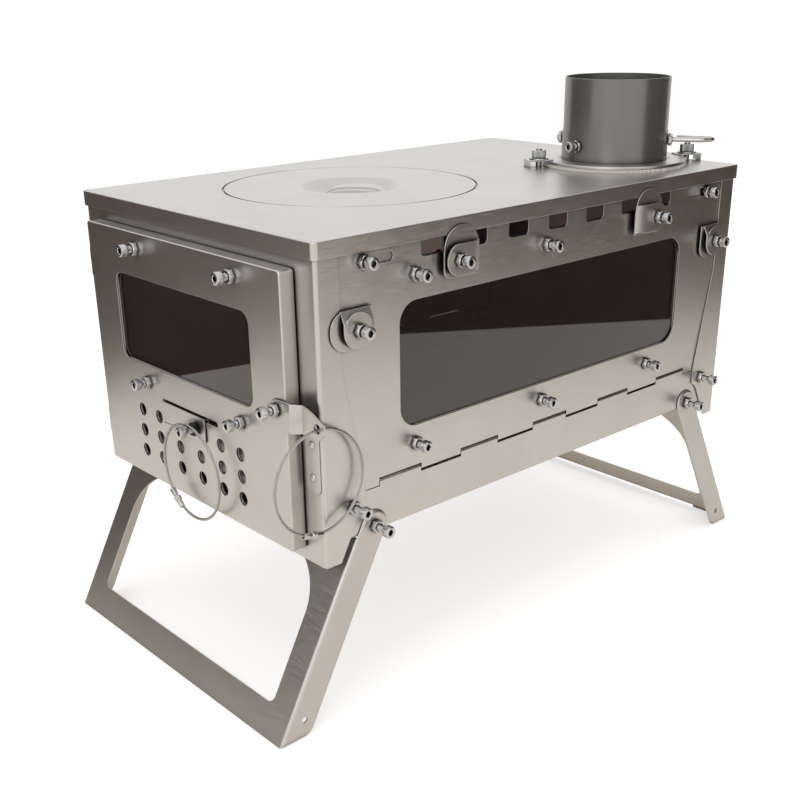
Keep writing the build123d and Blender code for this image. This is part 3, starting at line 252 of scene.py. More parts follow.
class StoveColours(PropertyGroup):
    """Colours of the finishes."""

    sheet: FloatVectorProperty(
        name="Bare sheet", description="Satin sheet metal of the body",
        default=(0.61, 0.587, 0.555), subtype="COLOR", size=3,
    )
    leg: FloatVectorProperty(
        name="Legs", description="Satin sheet metal of the legs",
        default=(0.585, 0.557, 0.525), subtype="COLOR", size=3,
    )
    flue: FloatVectorProperty(
        name="Flue collar", description="Darker metal of the flue collar",
        default=(0.225, 0.22, 0.205), subtype="COLOR", size=3,
    )
    screw: FloatVectorProperty(
        name="Screws", description="Bright plated screws and nuts",
        default=(0.58, 0.58, 0.575), subtype="COLOR", size=3,
    )
    wire: FloatVectorProperty(
        name="Wire", description="Drawn wire of the rings, rods and damper",
        default=(0.54, 0.525, 0.50), subtype="COLOR", size=3,
    )
    glass: FloatVectorProperty(
        name="Glass", description="Smoked heat-proof glass",
        default=(0.13, 0.095, 0.088), subtype="COLOR", size=3,
    )
    gasket: FloatVectorProperty(
        name="Gaskets", description="Woven fibre of the gaskets",
        default=(0.80, 0.76, 0.68), subtype="COLOR", size=3,
    )
    dark_nut: FloatVectorProperty(
        name="Dark nut", description="Blackened nut on the slider's knob",
        default=(0.03, 0.036, 0.03), subtype="COLOR", size=3,
    )


def node_in(tree, kind, **settings):
    """New shader node with some of its inputs set; an input's name has spaces for underscores."""
    made = tree.nodes.new(kind)
    for name, value in settings.items():
        made.inputs[name.replace("_", " ")].default_value = value
    return made


def new_material(name):
    """Material with one Principled shader, and that shader."""
    material = bpy.data.materials.new(name)
    material.use_nodes = True
    return material, material.node_tree, material.node_tree.nodes["Principled BSDF"]


def stretched(tree, scale):
    """Object coordinates scaled by their own amount along each axis."""
    place = node_in(tree, "ShaderNodeTexCoord")
    mapping = node_in(tree, "ShaderNodeMapping", Scale=scale)
    tree.links.new(place.outputs["Object"], mapping.inputs["Vector"])
    return mapping.outputs["Vector"]


def noise(tree, scale, detail=3.0, roughness=0.55):
    """Noise whose grain is set by the scale along each axis, in grains per metre."""
    made = node_in(tree, "ShaderNodeTexNoise", Scale=1.0, Detail=detail, Roughness=roughness)
    tree.links.new(stretched(tree, scale), made.inputs["Vector"])
    return made.outputs["Fac"]


def spread(tree, value, low, high, start=0.3, end=0.7):
    """Noise value turned into a range."""
    made = node_in(
        tree, "ShaderNodeMapRange", From_Min=start, From_Max=end, To_Min=low, To_Max=high
    )
    tree.links.new(value, made.inputs["Value"])
    return made.outputs["Result"]


def tinted(tree, value, dark, light):
    """Colour that goes from dark to light with a value."""
    ramp = tree.nodes.new("ShaderNodeValToRGB")
    ramp.color_ramp.elements[0].position = 0.3
    ramp.color_ramp.elements[1].position = 0.7
    ramp.color_ramp.elements[0].color = (*dark, 1.0)
    ramp.color_ramp.elements[1].color = (*light, 1.0)
    tree.links.new(value, ramp.inputs["Fac"])
    return ramp.outputs["Color"]


def shaded(colour, factor):
    """A colour made lighter or darker."""
    return tuple(min(1.0, channel * factor) for channel in colour)


def painted_crevice_shade(tree, reach, low):
    """Painted shade: a value from ambient occlusion that falls from 1 to a low one in gaps narrower than a reach,
    to darken a colour there.
    """
    open_sky = node_in(tree, "ShaderNodeAmbientOcclusion", Distance=reach)
    open_sky.samples = 8
    return spread(tree, open_sky.outputs["AO"], low, 1.0, 0.2, 0.9)


def darkened(tree, colour, factor):
    """Colour times a value."""
    made = node_in(tree, "ShaderNodeMixRGB", Fac=1.0)
    made.blend_type = "MULTIPLY"
    tree.links.new(colour, made.inputs["Color1"])
    tree.links.new(factor, made.inputs["Color2"])
    return made.outputs["Color"]


def bumped(tree, shader, value, depth, strength):
    """Relief of a given depth in metres on the shader's surface."""
    bump = node_in(tree, "ShaderNodeBump", Strength=strength, Distance=depth)
    tree.links.new(value, bump.inputs["Height"])
    tree.links.new(bump.outputs["Normal"], shader.inputs["Normal"])


# The last argument is the darkest share of colour that the painted shade in gaps leaves
def metal(
    name, colour, roughness, grain, patch=22.0, uneven=0.05, depth=0.00002, strength=0.35,
    metallic=1.0, painted_shade_low=0.12,
):
    """Bare metal: patches of slightly uneven polish under a fine rolled grain, its colour darkened by painted
    shade in its gaps.
    """
    material, tree, shader = new_material(name)
    shader.inputs["Metallic"].default_value = metallic
    cloud = noise(tree, (patch, patch, patch), 4.0)
    unshaded_colour = tinted(tree, cloud, shaded(colour, 1.0 - uneven), shaded(colour, 1.0 + uneven / 2))
    # Base colour darkened by painted shade in gaps narrower than the reach
    tree.links.new(
        darkened(tree, unshaded_colour, painted_crevice_shade(tree, PAINTED_SHADE_REACH, painted_shade_low)), shader.inputs["Base Color"]
    )
    streak = noise(tree, grain, 2.0, 0.7)
    tree.links.new(
        spread(tree, streak, roughness - uneven, roughness + uneven), shader.inputs["Roughness"]
    )
    bumped(tree, shader, streak, depth, strength)
    return material


def glass(name, colour):
    """Smoked heat-proof glass with polished faces."""
    material, tree, shader = new_material(name)
    shader.inputs["Transmission Weight"].default_value = 1.0
    shader.inputs["IOR"].default_value = 1.74
    film = noise(tree, (30.0, 30.0, 30.0), 5.0)
    tree.links.new(
        tinted(tree, film, shaded(colour, 0.9), shaded(colour, 1.08)), shader.inputs["Base Color"]
    )
    tree.links.new(spread(tree, film, 0.012, 0.035), shader.inputs["Roughness"])
    return material


def fibre(name, colour):
    """Woven fibre gasket."""
    material, tree, shader = new_material(name)
    warp = node_in(tree, "ShaderNodeTexWave", Scale=1.0, Distortion=1.5, Detail=2.0)
    tree.links.new(stretched(tree, (260.0, 260.0, 260.0)), warp.inputs["Vector"])
    tree.links.new(
        tinted(tree, warp.outputs["Fac"], shaded(colour, 0.8), colour), shader.inputs["Base Color"]
    )
    shader.inputs["Roughness"].default_value = 0.85
    bumped(tree, shader, warp.outputs["Fac"], 0.0003, 0.6)
    return material


def link_piece(name, mesh, node, slot=None):
    """Piece that stands for a frame node, with that node's body and with its finish or another."""
    slot = slot or slot_of_node[node]
    piece = bpy.data.objects.new(name, mesh)
    bpy.context.scene.collection.objects.link(piece)
    mesh.materials.clear()
    mesh.materials.append(materials[slot])
    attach(piece, body_of_node[node])
    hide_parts(node)
    return piece


def mesh_of(shape, name, crease=CREASE_ANGLE):
    """Mesh of a finished shape, smooth but for its creases."""
    bmesh.ops.recalc_face_normals(shape, faces=shape.faces)
    mesh = bpy.data.meshes.new(name)
    shape.to_mesh(mesh)
    shape.free()
    mesh.shade_smooth()
    mesh.set_sharp_from_angle(angle=crease)
    return mesh


def welded(node):
    """Shape of a frame node with its split corners joined."""
    shape = bmesh.new()
    shape.from_mesh(frame["nodes"][node].data)
    bmesh.ops.remove_doubles(shape, verts=shape.verts, dist=WELD)
    return shape


def edge_rounded(node, width, slot=None):
    """The node's own form with every cut edge rounded."""
    shape = welded(node)
    bmesh.ops.dissolve_limit(
        shape, angle_limit=FLAT_ANGLE, verts=shape.verts, edges=shape.edges
    )
    mesh = bpy.data.meshes.new(f"{node}_edged")
    shape.to_mesh(mesh)
    shape.free()
    mesh.shade_smooth()
    piece = link_piece(f"{node}_edged", mesh, node, slot)
    bevel = piece.modifiers.new("edges", "BEVEL")
    bevel.width = width
    bevel.segments = 2
    bevel.limit_method = "ANGLE"
    bevel.angle_limit = EDGE_ANGLE
    bevel.use_clamp_overlap = False
    normals = piece.modifiers.new("normals", "WEIGHTED_NORMAL")
    normals.weight = 100
    return piece


def islands(node):
    """Points of each loose solid in a node."""
    shape = welded(node)
    left = set(shape.verts)
    groups = []
    while left:
        front = [left.pop()]
        group = []
        while front:
            point = front.pop()
            group.append(point.co.copy())
            for edge in point.link_edges:
                other = edge.other_vert(point)
                if other in left:
                    left.remove(other)
                    front.append(other)
        groups.append(group)
    shape.free()
    return groups


def middle(points):
    """Middle of the box round some points."""
    return Vector(
        [(min(p[i] for p in points) + max(p[i] for p in points)) / 2 for i in range(3)]
    )


def fastener_place(node, points):
    """Place of a fastener with its own z outwards from its tail, and its length."""
    centre = middle(points)
    low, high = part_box("flue_collar")
    flue = (low + high) / 2
    offset = Vector((centre.x - flue.x, centre.y - flue.y, 0.0))
    near_flue = centre.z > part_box("top_plate")[1].z and offset.length < high.x - low.x
    if node == "damper_nuts" or near_flue:
        way = offset.normalized()
        along = Vector((0, 0, 1))
    elif node in DOOR_NODES:
        way = Vector((0, -1, 0))
        along = Vector((1, 0, 0))
    else:
        way = Vector((math.copysign(1, centre.x), 0, 0))
        along = Vector((0, 1, 0))
    reach = [(point - centre).dot(way) for point in points]
    place = Matrix((along, way.cross(along), way)).transposed().to_4x4()
    place.translation = centre + way * min(reach)
    return place, max(reach) - min(reach)


def ring_points(radius, height, sides):
    """One ring of points: a circle, or a hexagon with a corner on its own x."""
    points = []
    for index in range(TURN_STEPS):
        angle = 2 * math.pi * index / TURN_STEPS
        reach = radius
        if sides:
            half = math.pi / sides
            reach = radius * math.cos(half) / math.cos(angle % (2 * half) - half)
        points.append(Vector((reach * math.cos(angle), reach * math.sin(angle), height)))
    return points


def turn(shape, place, profile, closed=False):
    """Turned form from rows of radius, height and number of sides; radius 0 is a point."""
    rows = []
    for radius, height, sides in profile:
        if radius:
            points = ring_points(radius, height, sides)
        else:
            points = [Vector((0, 0, height))]
        rows.append([shape.verts.new(place @ point) for point in points])
    pairs = list(zip(rows, rows[1:]))
    if closed:
        pairs.append((rows[-1], rows[0]))
    for low, high in pairs:
        for index in range(TURN_STEPS):
            after = (index + 1) % TURN_STEPS
            if len(low) == 1:
                shape.faces.new((low[0], high[after], high[index]))
            elif len(high) == 1:
                shape.faces.new((low[index], low[after], high[0]))
            else:
                shape.faces.new((low[index], low[after], high[after], high[index]))


def cut_thread(shape, place, length, crest, depth, pitch):
    """Helical thread from the tail up to a length."""
    steps = int(length / pitch * TURN_STEPS)
    lines = []
    for radius, lag in ((crest, 0.0), (crest - depth, 0.5)):
        line = []
        for index in range(steps + 1):
            angle = 2 * math.pi * index / TURN_STEPS
            height = pitch * (index / TURN_STEPS + lag)
            point = Vector((radius * math.cos(angle), radius * math.sin(angle), height))
            line.append(shape.verts.new(place @ point))
        lines.append(line)
    crests, roots = lines
    for index in range(steps):
        after = index + 1
        shape.faces.new((crests[index], crests[after], roots[after], roots[index]))
        if after + TURN_STEPS <= steps:
            shape.faces.new(
                (roots[index], roots[after], crests[after + TURN_STEPS], crests[index + TURN_STEPS])
            )


def add_socket_screw(shape, place, length, sizes):
    """Socket screw: threaded shank, turned head and hexagon socket."""
    under = length - sizes.head_height
    core = sizes.shank - sizes.thread_depth
    lip = sizes.head_height * TAIL_BEVEL
    round_over = sizes.head * HEAD_ROUND
    turn(shape, place, [(0, 0, 0), (core * 0.8, 0, 0), (core, lip, 0), (core, under, 0)])
    cut_thread(
        shape, place, under - sizes.thread_pitch / 2, sizes.shank, sizes.thread_depth,
        sizes.thread_pitch,
    )
    head = sizes.head
    turn(
        shape,
        place,
        [
            (core, under, 0),
            (head - round_over, under, 0),
            (head, under + round_over, 0),
            (head, length - 1.4 * round_over, 0),
            (head - 0.4 * round_over, length - 0.5 * round_over, 0),
            (head - 1.3 * round_over, length, 0),
            (sizes.socket * 1.12, length, 0),
            (sizes.socket, length - lip, 6),
            (sizes.socket, length - sizes.socket_depth, 6),
            (0, length - sizes.socket_depth - lip, 0),
        ],
    )


def add_nut(shape, place, length, sizes):
    """Hexagon nut with its corners turned off at both ends."""
    flat = sizes.nut / 2
    corner = sizes.nut / math.sqrt(3)
    bevel = min(NUT_BEVEL * length, (corner - flat) * 0.7)
    bore = sizes.shank
    turn(
        shape,
        place,
        [
            (bore, 0, 0),
            (flat * 0.97, 0, 0),
            (corner, bevel, 6),
            (corner, length - bevel, 6),
            (flat * 0.97, length, 0),
            (bore + bevel, length, 0),
            (bore, length - bevel, 0),
        ],
        closed=True,
    )


def add_knurled_nut(shape, points, sizes):
    """Upright round nut with fine straight knurls and turned-off rims."""
    centre = middle(points)
    radius = max(point.x for point in points) - centre.x
    bottom = min(point.z for point in points)
    top = max(point.z for point in points)
    lip = 2.5 * sizes.knurl
    rows = []
    for reach, height, cut in (
        (sizes.shank, bottom, 0.0),
        (radius - lip, bottom, 0.0),
        (radius, bottom + lip, 1.0),
        (radius, top - lip, 1.0),
        (radius - lip, top, 0.0),
        (sizes.shank, top, 0.0),
    ):
        row = []
        for index in range(KNURL_STEPS):
            angle = 2 * math.pi * index / KNURL_STEPS
            out = reach - cut * sizes.knurl * (index % 2)
            row.append(
                shape.verts.new(
                    (centre.x + out * math.cos(angle), centre.y + out * math.sin(angle), height)
                )
            )
        rows.append(row)
    for low, high in zip(rows, rows[1:] + rows[:1]):
        for index in range(KNURL_STEPS):
            after = (index + 1) % KNURL_STEPS
            shape.faces.new((low[index], low[after], high[after], high[index]))


def twisted_cable(sizes):
    """Mesh of a closed ring of seven twisted strands, flat in its own x and y."""
    strand = sizes.cable / 3
    curve = bpy.data.curves.new("cable", "CURVE")
    curve.dimensions = "3D"
    curve.bevel_depth = strand
    curve.bevel_resolution = 1
    steps = sizes.cable_twist * CABLE_STEPS
    for index in range(7):
        reach = 2 * strand if index else 0.0
        spline = curve.splines.new("POLY")
        spline.points.add(steps - 1)
        spline.use_cyclic_u = True
        for step, point in enumerate(spline.points):
            angle = 2 * math.pi * step / steps
            twist = sizes.cable_twist * angle + 2 * math.pi * index / 6
            radius = sizes.ring + reach * math.cos(twist)
            point.co = (
                radius * math.cos(angle), radius * math.sin(angle), reach * math.sin(twist), 1.0
            )
    holder = bpy.data.objects.new("cable", curve)
    mesh = bpy.data.meshes.new_from_object(holder)
    bpy.data.objects.remove(holder)
    bpy.data.curves.remove(curve)
    mesh.shade_smooth()
    return mesh


def add_cable_ring(node, centre, tilt, clasp_angle, sizes):
    """Cable ring and its barrel clasp in place of a frame node."""
    place = Matrix.Translation(centre) @ tilt
    cable = twisted_cable(sizes)
    cable.transform(place)
    link_piece(f"{node}_cable", cable, node)
    half = sizes.clasp / 2
    radius = sizes.cable * 2
    shape = bmesh.new()
    seat = Matrix.Rotation(clasp_angle, 4, "Z") @ Matrix.Translation((sizes.ring, 0, 0))
    seat = place @ seat @ Matrix.Rotation(QUARTER_TURN, 4, "X")
    turn(
        shape,
        seat,
        [
            (sizes.cable, -half, 0),
            (radius * 0.82, -half, 0),
            (radius * 0.9, -0.9 * half, 0),
            (radius * 0.9, -0.35 * half, 0),
            (radius * 1.22, -0.28 * half, 6),
            (radius * 1.22, 0.1 * half, 6),
            (radius * 0.8, 0.18 * half, 0),
            (radius * 0.8, 0.3 * half, 0),
            (radius, 0.38 * half, 0),
            (radius, 0.92 * half, 0),
            (radius * 0.85, half, 0),
            (sizes.cable, half, 0),
        ],
    )
    link_piece(f"{node}_clasp", mesh_of(shape, f"{node}_clasp"), node)


class STOVE_OT_finishes(bpy.types.Operator):
    """Make the finishes and give one to every piece of the frame"""

    bl_idname = "stove.finishes"
    bl_label = "Finishes"

    def execute(self, context):
        colours = context.scene.stove_colours
        along = (GRAIN_LONG, GRAIN_FINE, GRAIN_FINE)
        rolled = (GRAIN_FINE, GRAIN_LONG, GRAIN_FINE)
        upright = (GRAIN_FINE, GRAIN_FINE, GRAIN_LONG)
        fine = (GRAIN_EVEN, GRAIN_EVEN, GRAIN_EVEN)
        materials["satin_sheet"] = metal("satin_sheet", colours.sheet, 0.33, rolled)
        materials["leg_sheet"] = metal("leg_sheet", colours.leg, 0.36, along)
        materials["dark_sheet"] = metal(
            "dark_sheet", colours.flue, 0.26, upright, uneven=0.015, depth=0.000003, metallic=0.7
        )
        materials["bright_steel"] = metal("bright_steel", colours.screw, 0.24, fine, patch=300.0)
        materials["wire"] = metal("wire", colours.wire, 0.24, fine, patch=200.0)
        materials["dark_glass"] = glass("dark_glass", colours.glass)
        materials["gasket"] = fibre("gasket", colours.gasket)
        materials["dark_nut"] = metal(
            "dark_nut", colours.dark_nut, 0.36, fine, patch=300.0, uneven=0.1
        )
        for node, part in frame["nodes"].items():
            part.data.materials.clear()
            part.data.materials.append(materials[slot_of_node[node]])
        return {"FINISHED"}


class STOVE_OT_sheets(bpy.types.Operator):
    """Round the cut edges of the body, the door, the legs and the clips"""

    bl_idname = "stove.sheets"
    bl_label = "Sheet metal"

    def execute(self, context):
        edge = context.scene.stove_sizes.edge
        for node, share in SHEET_NODES.items():
            edge_rounded(node, edge * share)
        for node in CLIP_NODES:
            edge_rounded(node, edge)
        return {"FINISHED"}


class STOVE_OT_flue(bpy.types.Operator):
    """Round the edges of the flue collar and its clamps"""

    bl_idname = "stove.flue"
    bl_label = "Flue collar"

    def execute(self, context):
        edge = context.scene.stove_sizes.edge
        for node, share in FLUE_NODES.items():
            edge_rounded(node, edge * share, FINISH_INSTEAD.get(node))
        return {"FINISHED"}


class STOVE_OT_panes(bpy.types.Operator):
    """Polish the edges of the glass panes"""

    bl_idname = "stove.panes"
    bl_label = "Glass panes"

    def execute(self, context):
        for node in PANE_NODES:
            edge_rounded(node, context.scene.stove_sizes.pane_edge)
        return {"FINISHED"}


def lid_profile(radius, top, sheet, depth, sizes):
    """Reach and height of the lid's rings, from the middle of its top round to its underside."""

    def surface(reach):
        share = (reach - sizes.dish_floor) / (sizes.dish - sizes.dish_floor)
        share = min(1.0, max(0.0, share))
        return top - depth * (0.5 + 0.5 * math.cos(math.pi * share))

    reaches = [sizes.dish * index / DISH_STEPS for index in range(1, DISH_STEPS + 1)]
    edge = sheet * LID_EDGE
    flat = (sizes.dish + edge, radius - 3 * edge)
    rows = [(0.0, surface(0.0))] + [(reach, surface(reach)) for reach in reaches]
    rows += [(reach, top) for reach in (*flat, radius - edge)]
    rows += [(radius - edge * 0.3, top - edge * 0.3), (radius, top - edge)]
    rows += [(radius, top - sheet + edge)]
    rows += [(reach, top - sheet) for reach in (radius - edge, *reversed(flat))]
    rows += [(reach, surface(reach) - sheet) for reach in reversed(reaches)]
    rows.append((0.0, surface(0.0) - sheet))
    return rows


def spun_disc(rows, centre):
    """Wide round form from rows of reach and height; reach 0 is a point."""
    shape = bmesh.new()
    rings = []
    for reach, height in rows:
        ring = []
        for index in range(WIDE_STEPS if reach else 1):
            angle = 2 * math.pi * index / WIDE_STEPS
            x = centre.x + reach * math.cos(angle)
            y = centre.y + reach * math.sin(angle)
            ring.append(shape.verts.new((x, y, height)))
        rings.append(ring)
    for inner, outer in zip(rings, rings[1:]):
        for index in range(WIDE_STEPS):
            after = (index + 1) % WIDE_STEPS
            corners = [
                inner[index % len(inner)], inner[after % len(inner)],
                outer[after % len(outer)], outer[index % len(outer)],
            ]
            shape.faces.new(list(dict.fromkeys(corners)))
    return shape


def arched_strap(centre, top, sheet, depth, sizes):
    """Strap across the dish, highest in its middle."""
    half = sizes.dish * STRAP_REACH
    drop = depth * STRAP_DROP
    aside = sizes.strap_aside / math.sqrt(2)
    place = Matrix.Translation((centre.x + aside, centre.y + aside, 0))
    place = place @ Matrix.Rotation(sizes.strap_angle, 4, "Z")
    edge = sheet * STRAP_EDGE
    section = [
        (-0.5, -1.0), (-0.5, -edge / sheet), (-0.5 + edge / sizes.strap_width, 0.0),
        (0.5 - edge / sizes.strap_width, 0.0), (0.5, -edge / sheet), (0.5, -1.0),
    ]
    shape = bmesh.new()
    rows = []
    for index in range(STRAP_STEPS + 1):
        way = -half + 2 * half * index / STRAP_STEPS
        height = top - edge - drop * abs(way / half) ** STRAP_BEND
        row = []
        for across, up in section:
            point = Vector((way, across * sizes.strap_width, height + up * sheet))
            row.append(shape.verts.new(place @ point))
        rows.append(row)
    for near, far in zip(rows, rows[1:]):
        for index in range(len(section)):
            after = (index + 1) % len(section)
            shape.faces.new((near[index], near[after], far[after], far[index]))
    shape.faces.new(rows[0])
    shape.faces.new(rows[-1])
    return shape


class STOVE_OT_lid(bpy.types.Operator):
    """Press the lid's dish and put the strap across it"""

    bl_idname = "stove.lid"
    bl_label = "Lid"

    def execute(self, context):
        sizes = context.scene.stove_sizes
        low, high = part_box("lid")
        centre = (low + high) / 2
        radius = (high.x - low.x) / 2 - sizes.lid_play
        top = high.z
        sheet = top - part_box("lid_ledge")[1].z
        depth = top - low.z - sheet
        lid = spun_disc(lid_profile(radius, top, sheet, depth, sizes), centre)
        link_piece("lid_pressed", mesh_of(lid, "lid_pressed"), "lid")
        strap = arched_strap(centre, top, sheet, depth, sizes)
        link_piece("lid_strap_arched", mesh_of(strap, "lid_strap_arched"), "lid_strap")
        return {"FINISHED"}


class STOVE_OT_fasteners(bpy.types.Operator):
    """Cut the threads, sockets and corners of the screws and nuts"""

    bl_idname = "stove.fasteners"
    bl_label = "Screws and nuts"

    def execute(self, context):
        sizes = context.scene.stove_sizes
        for nodes, add, ending in (
            (SCREW_NODES, add_socket_screw, "threaded"),
            (NUT_NODES, add_nut, "cornered"),
        ):
            for node in nodes:
                shape = bmesh.new()
                for points in islands(node):
                    place, length = fastener_place(node, points)
                    add(shape, place, length, sizes)
                link_piece(f"{node}_{ending}", mesh_of(shape, f"{node}_{ending}"), node)
        shape = bmesh.new()
        for points in islands("flue_thumb_nuts"):
            add_knurled_nut(shape, points, sizes)
        knurled = mesh_of(shape, "flue_thumb_nuts_knurled", KNURL_CREASE)
        link_piece("flue_thumb_nuts_knurled", knurled, "flue_thumb_nuts")
        shape = bmesh.new()
        for points in islands("strike_rivets"):
            centre = middle(points)
            base = max(point.y for point in points)
            radius = max(point.x for point in points) - centre.x
            height = base - min(point.y for point in points)
            place = Matrix.Translation((centre.x, base, centre.z)) @ Matrix.Rotation(
                QUARTER_TURN, 4, "X"
            )
            arcs = [QUARTER_TURN * index / DOME_STEPS for index in range(DOME_STEPS)]
            rows = [(radius * math.cos(arc), height * math.sin(arc), 0) for arc in arcs]
            turn(shape, place, rows + [(0, height, 0)])
        link_piece("strike_rivets_domed", mesh_of(shape, "strike_rivets_domed"), "strike_rivets")
        return {"FINISHED"}


class STOVE_OT_rings(bpy.types.Operator):
    """Twist the two cable rings and close them with their clasps"""

    bl_idname = "stove.rings"
    bl_label = "Cable rings"

    def execute(self, context):
        sizes = context.scene.stove_sizes
        low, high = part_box("knob_ring")
        joint = next(j for j in frame["joints"] if j["name"] == "knob_ring_swing")
        x, y, _ = joint["pos_m"]
        centre = Vector((x, y, high.z - sizes.ring - sizes.cable))
        add_cable_ring(
            "knob_ring", centre, Matrix.Rotation(QUARTER_TURN, 4, "X"), sizes.knob_clasp_angle, sizes
        )
        low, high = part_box("latch_ring")
        joint = next(j for j in frame["joints"] if j["name"] == "latch_ring_swing")
        x, y, _ = joint["pos_m"]
        centre = Vector((x, y, high.z - sizes.ring - sizes.cable))
        add_cable_ring(
            "latch_ring", centre, Matrix.Rotation(QUARTER_TURN, 4, "Y"), sizes.latch_clasp_angle, sizes
        )
        return {"FINISHED"}


def seen_directly(tree):
    """Value that is 1 for camera, glossy and transmission rays."""
    path = tree.nodes.new("ShaderNodeLightPath")
    value = path.outputs["Is Camera Ray"]
    for name in ("Is Glossy Ray", "Is Transmission Ray"):
        either = tree.nodes.new("ShaderNodeMath")
        either.operation = "MAXIMUM"
        tree.links.new(value, either.inputs[0])
        tree.links.new(path.outputs[name], either.inputs[1])
        value = either.outputs["Value"]
    return value


def flat_square(name, size, place):
    """Square plane on the stage."""
    shape = bmesh.new()
    bmesh.ops.create_grid(shape, x_segments=1, y_segments=1, size=0.5)
    mesh = bpy.data.meshes.new(name)
    shape.to_mesh(mesh)
    shape.free()
    plane = bpy.data.objects.new(name, mesh)
    bpy.context.scene.collection.objects.link(plane)
    plane.matrix_world = place @ Matrix.Diagonal((*size, 1.0, 1.0))
    return plane


def add_card(name, way, distance, aside, width, height):
    """Dark card beside the stove that only reflections see."""
    angle = math.radians(way)
    out = Vector((math.cos(angle), math.sin(angle), 0))
    tangent = Vector((-out.y, out.x, 0))
    place = Matrix((tangent, Vector((0, 0, 1)), out)).transposed().to_4x4()
    place.translation = out * distance + tangent * aside + Vector((0, 0, height / 2))
    card = flat_square(name, (width, height), place)
    material, _, shader = new_material(name)
    shader.inputs["Base Color"].default_value = CARD_COLOUR
    shader.inputs["Roughness"].default_value = 1.0
    card.data.materials.append(material)
    card.visible_camera = False
    card.visible_diffuse = False
    card.visible_shadow = False
    card.visible_transmission = False


def add_lamp(name, power, size, place, mirrored):
    """Soft area lamp that points at the stove."""
    lamp = bpy.data.lights.new(name, "AREA")
    lamp.energy = power
    lamp.size = size
    holder = bpy.data.objects.new(name, lamp)
    bpy.context.scene.collection.objects.link(holder)
    holder.location = place
    way = Vector(LAMP_TARGET) - Vector(place)
    holder.rotation_euler = way.to_track_quat("-Z", "Y").to_euler()
    holder.visible_glossy = mirrored


def add_floor():
    """White floor that keeps the stove's shadow."""
    floor = flat_square("floor", (FLOOR_SIZE, FLOOR_SIZE), Matrix.Identity(4))
    material, tree, shader = new_material("floor")
    shader.inputs["Base Color"].default_value = FLOOR_COLOUR
    shader.inputs["Roughness"].default_value = 1.0
    shader.inputs["Specular IOR Level"].default_value = 0.0
    path = tree.nodes.new("ShaderNodeLightPath")
    glow = node_in(
        tree, "ShaderNodeMixRGB", Color1=FLOOR_GLOW_MIRRORED, Color2=FLOOR_GLOW_SEEN
    )
    tree.links.new(path.outputs["Is Camera Ray"], glow.inputs["Fac"])
    tree.links.new(glow.outputs["Color"], shader.inputs["Emission Color"])
    tree.links.new(seen_directly(tree), shader.inputs["Emission Strength"])
    floor.data.materials.append(material)


def add_sky(scene):
    """World that is white where it is seen and softer where it lights the stove."""
    world = bpy.data.worlds.new("studio")
    world.use_nodes = True
    scene.world = world
    tree = world.node_tree
    seen = node_in(tree, "ShaderNodeBackground", Color=WHITE, Strength=SKY_SEEN)
    lit = node_in(tree, "ShaderNodeBackground", Color=WHITE, Strength=SKY_LIT)
    mix = tree.nodes.new("ShaderNodeMixShader")
    tree.links.new(seen_directly(tree), mix.inputs["Fac"])
    tree.links.new(lit.outputs["Background"], mix.inputs[1])
    tree.links.new(seen.outputs["Background"], mix.inputs[2])
    tree.links.new(mix.outputs["Shader"], tree.nodes["World Output"].inputs["Surface"])


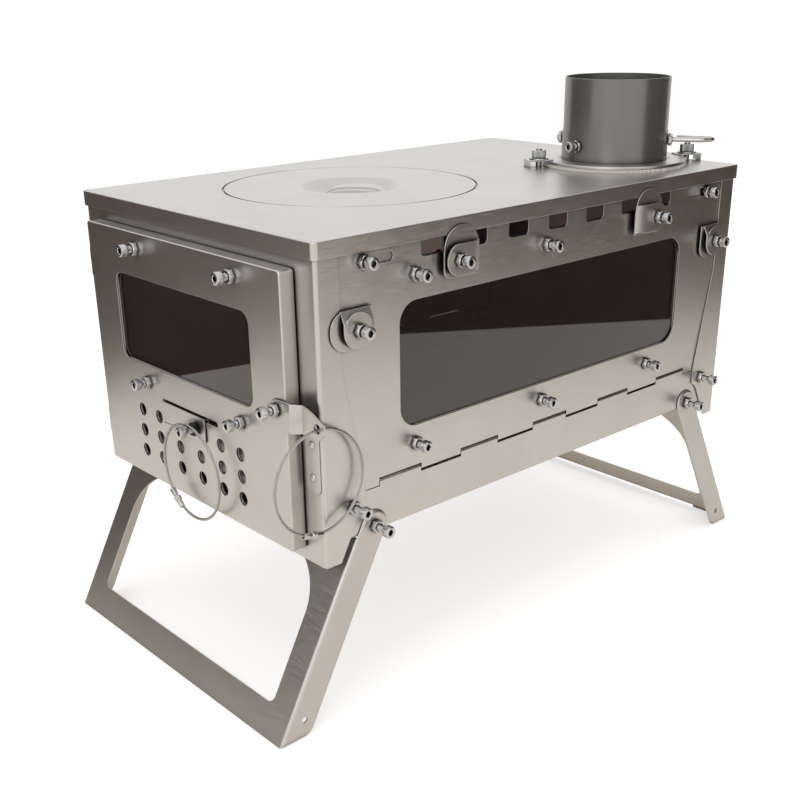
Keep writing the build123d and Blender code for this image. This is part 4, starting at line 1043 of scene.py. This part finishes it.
def add_camera(scene):
    """Camera that stands where the photograph's camera stood."""
    camera = bpy.data.cameras.new("camera")
    camera.sensor_width = CAMERA_SENSOR
    camera.lens = CAMERA_LENS
    camera.shift_x = CAMERA_SHIFT_X
    camera.shift_y = CAMERA_SHIFT_Y
    camera.clip_start = CAMERA_NEAR
    holder = bpy.data.objects.new("camera", camera)
    scene.collection.objects.link(holder)
    yaw, pitch, roll = map(math.radians, (CAMERA_YAW, CAMERA_PITCH, CAMERA_ROLL))
    forward = Vector(
        (-math.sin(yaw) * math.cos(pitch), math.cos(yaw) * math.cos(pitch), -math.sin(pitch))
    )
    level = Vector((math.cos(yaw), math.sin(yaw), 0.0))
    upward = level.cross(forward)
    right = math.cos(roll) * level + math.sin(roll) * upward
    up = -math.sin(roll) * level + math.cos(roll) * upward
    place = Matrix((right, up, -forward)).transposed().to_4x4()
    place.translation = CAMERA_PLACE
    holder.matrix_world = place
    scene.camera = holder


class STOVE_OT_stage(bpy.types.Operator):
    """Set up the floor, the sky, the soft lamps, the dark cards and the camera"""

    bl_idname = "stove.stage"
    bl_label = "Studio"

    def execute(self, context):
        scene = context.scene
        add_floor()
        add_sky(scene)
        for name, (power, size, place, mirrored) in LAMPS.items():
            add_lamp(name, power, size, place, mirrored)
        for name, card in CARDS.items():
            add_card(name, *card)
        add_camera(scene)
        scene.view_settings.view_transform = "Standard"
        return {"FINISHED"}


class STOVE_PT_panel(bpy.types.Panel):
    """Sidebar list of the stove's pieces"""

    bl_idname = "STOVE_PT_panel"
    bl_label = "Stove"
    bl_space_type = "VIEW_3D"
    bl_region_type = "UI"
    bl_category = "Stove"

    def draw(self, context):
        for operator in OPERATORS:
            self.layout.operator(operator.bl_idname)
        for group in (context.scene.stove_sizes, context.scene.stove_colours):
            for name in group.__annotations__:
                self.layout.prop(group, name)


OPERATORS = (
    STOVE_OT_finishes,
    STOVE_OT_sheets,
    STOVE_OT_flue,
    STOVE_OT_panes,
    STOVE_OT_lid,
    STOVE_OT_fasteners,
    STOVE_OT_rings,
    STOVE_OT_stage,
)
CLASSES = (StoveSizes, StoveColours, *OPERATORS, STOVE_PT_panel)


def register():
    for item in CLASSES:
        bpy.utils.register_class(item)
    bpy.types.Scene.stove_sizes = PointerProperty(type=StoveSizes)
    bpy.types.Scene.stove_colours = PointerProperty(type=StoveColours)


def unregister():
    del bpy.types.Scene.stove_sizes
    del bpy.types.Scene.stove_colours
    for item in reversed(CLASSES):
        bpy.utils.unregister_class(item)


def main():
    """Build everything in order."""
    register()
    bpy.ops.stove.finishes()
    bpy.ops.stove.sheets()
    bpy.ops.stove.flue()
    bpy.ops.stove.panes()
    bpy.ops.stove.lid()
    bpy.ops.stove.fasteners()
    bpy.ops.stove.rings()
    bpy.ops.stove.stage()


if __name__ == "__main__":
    main()
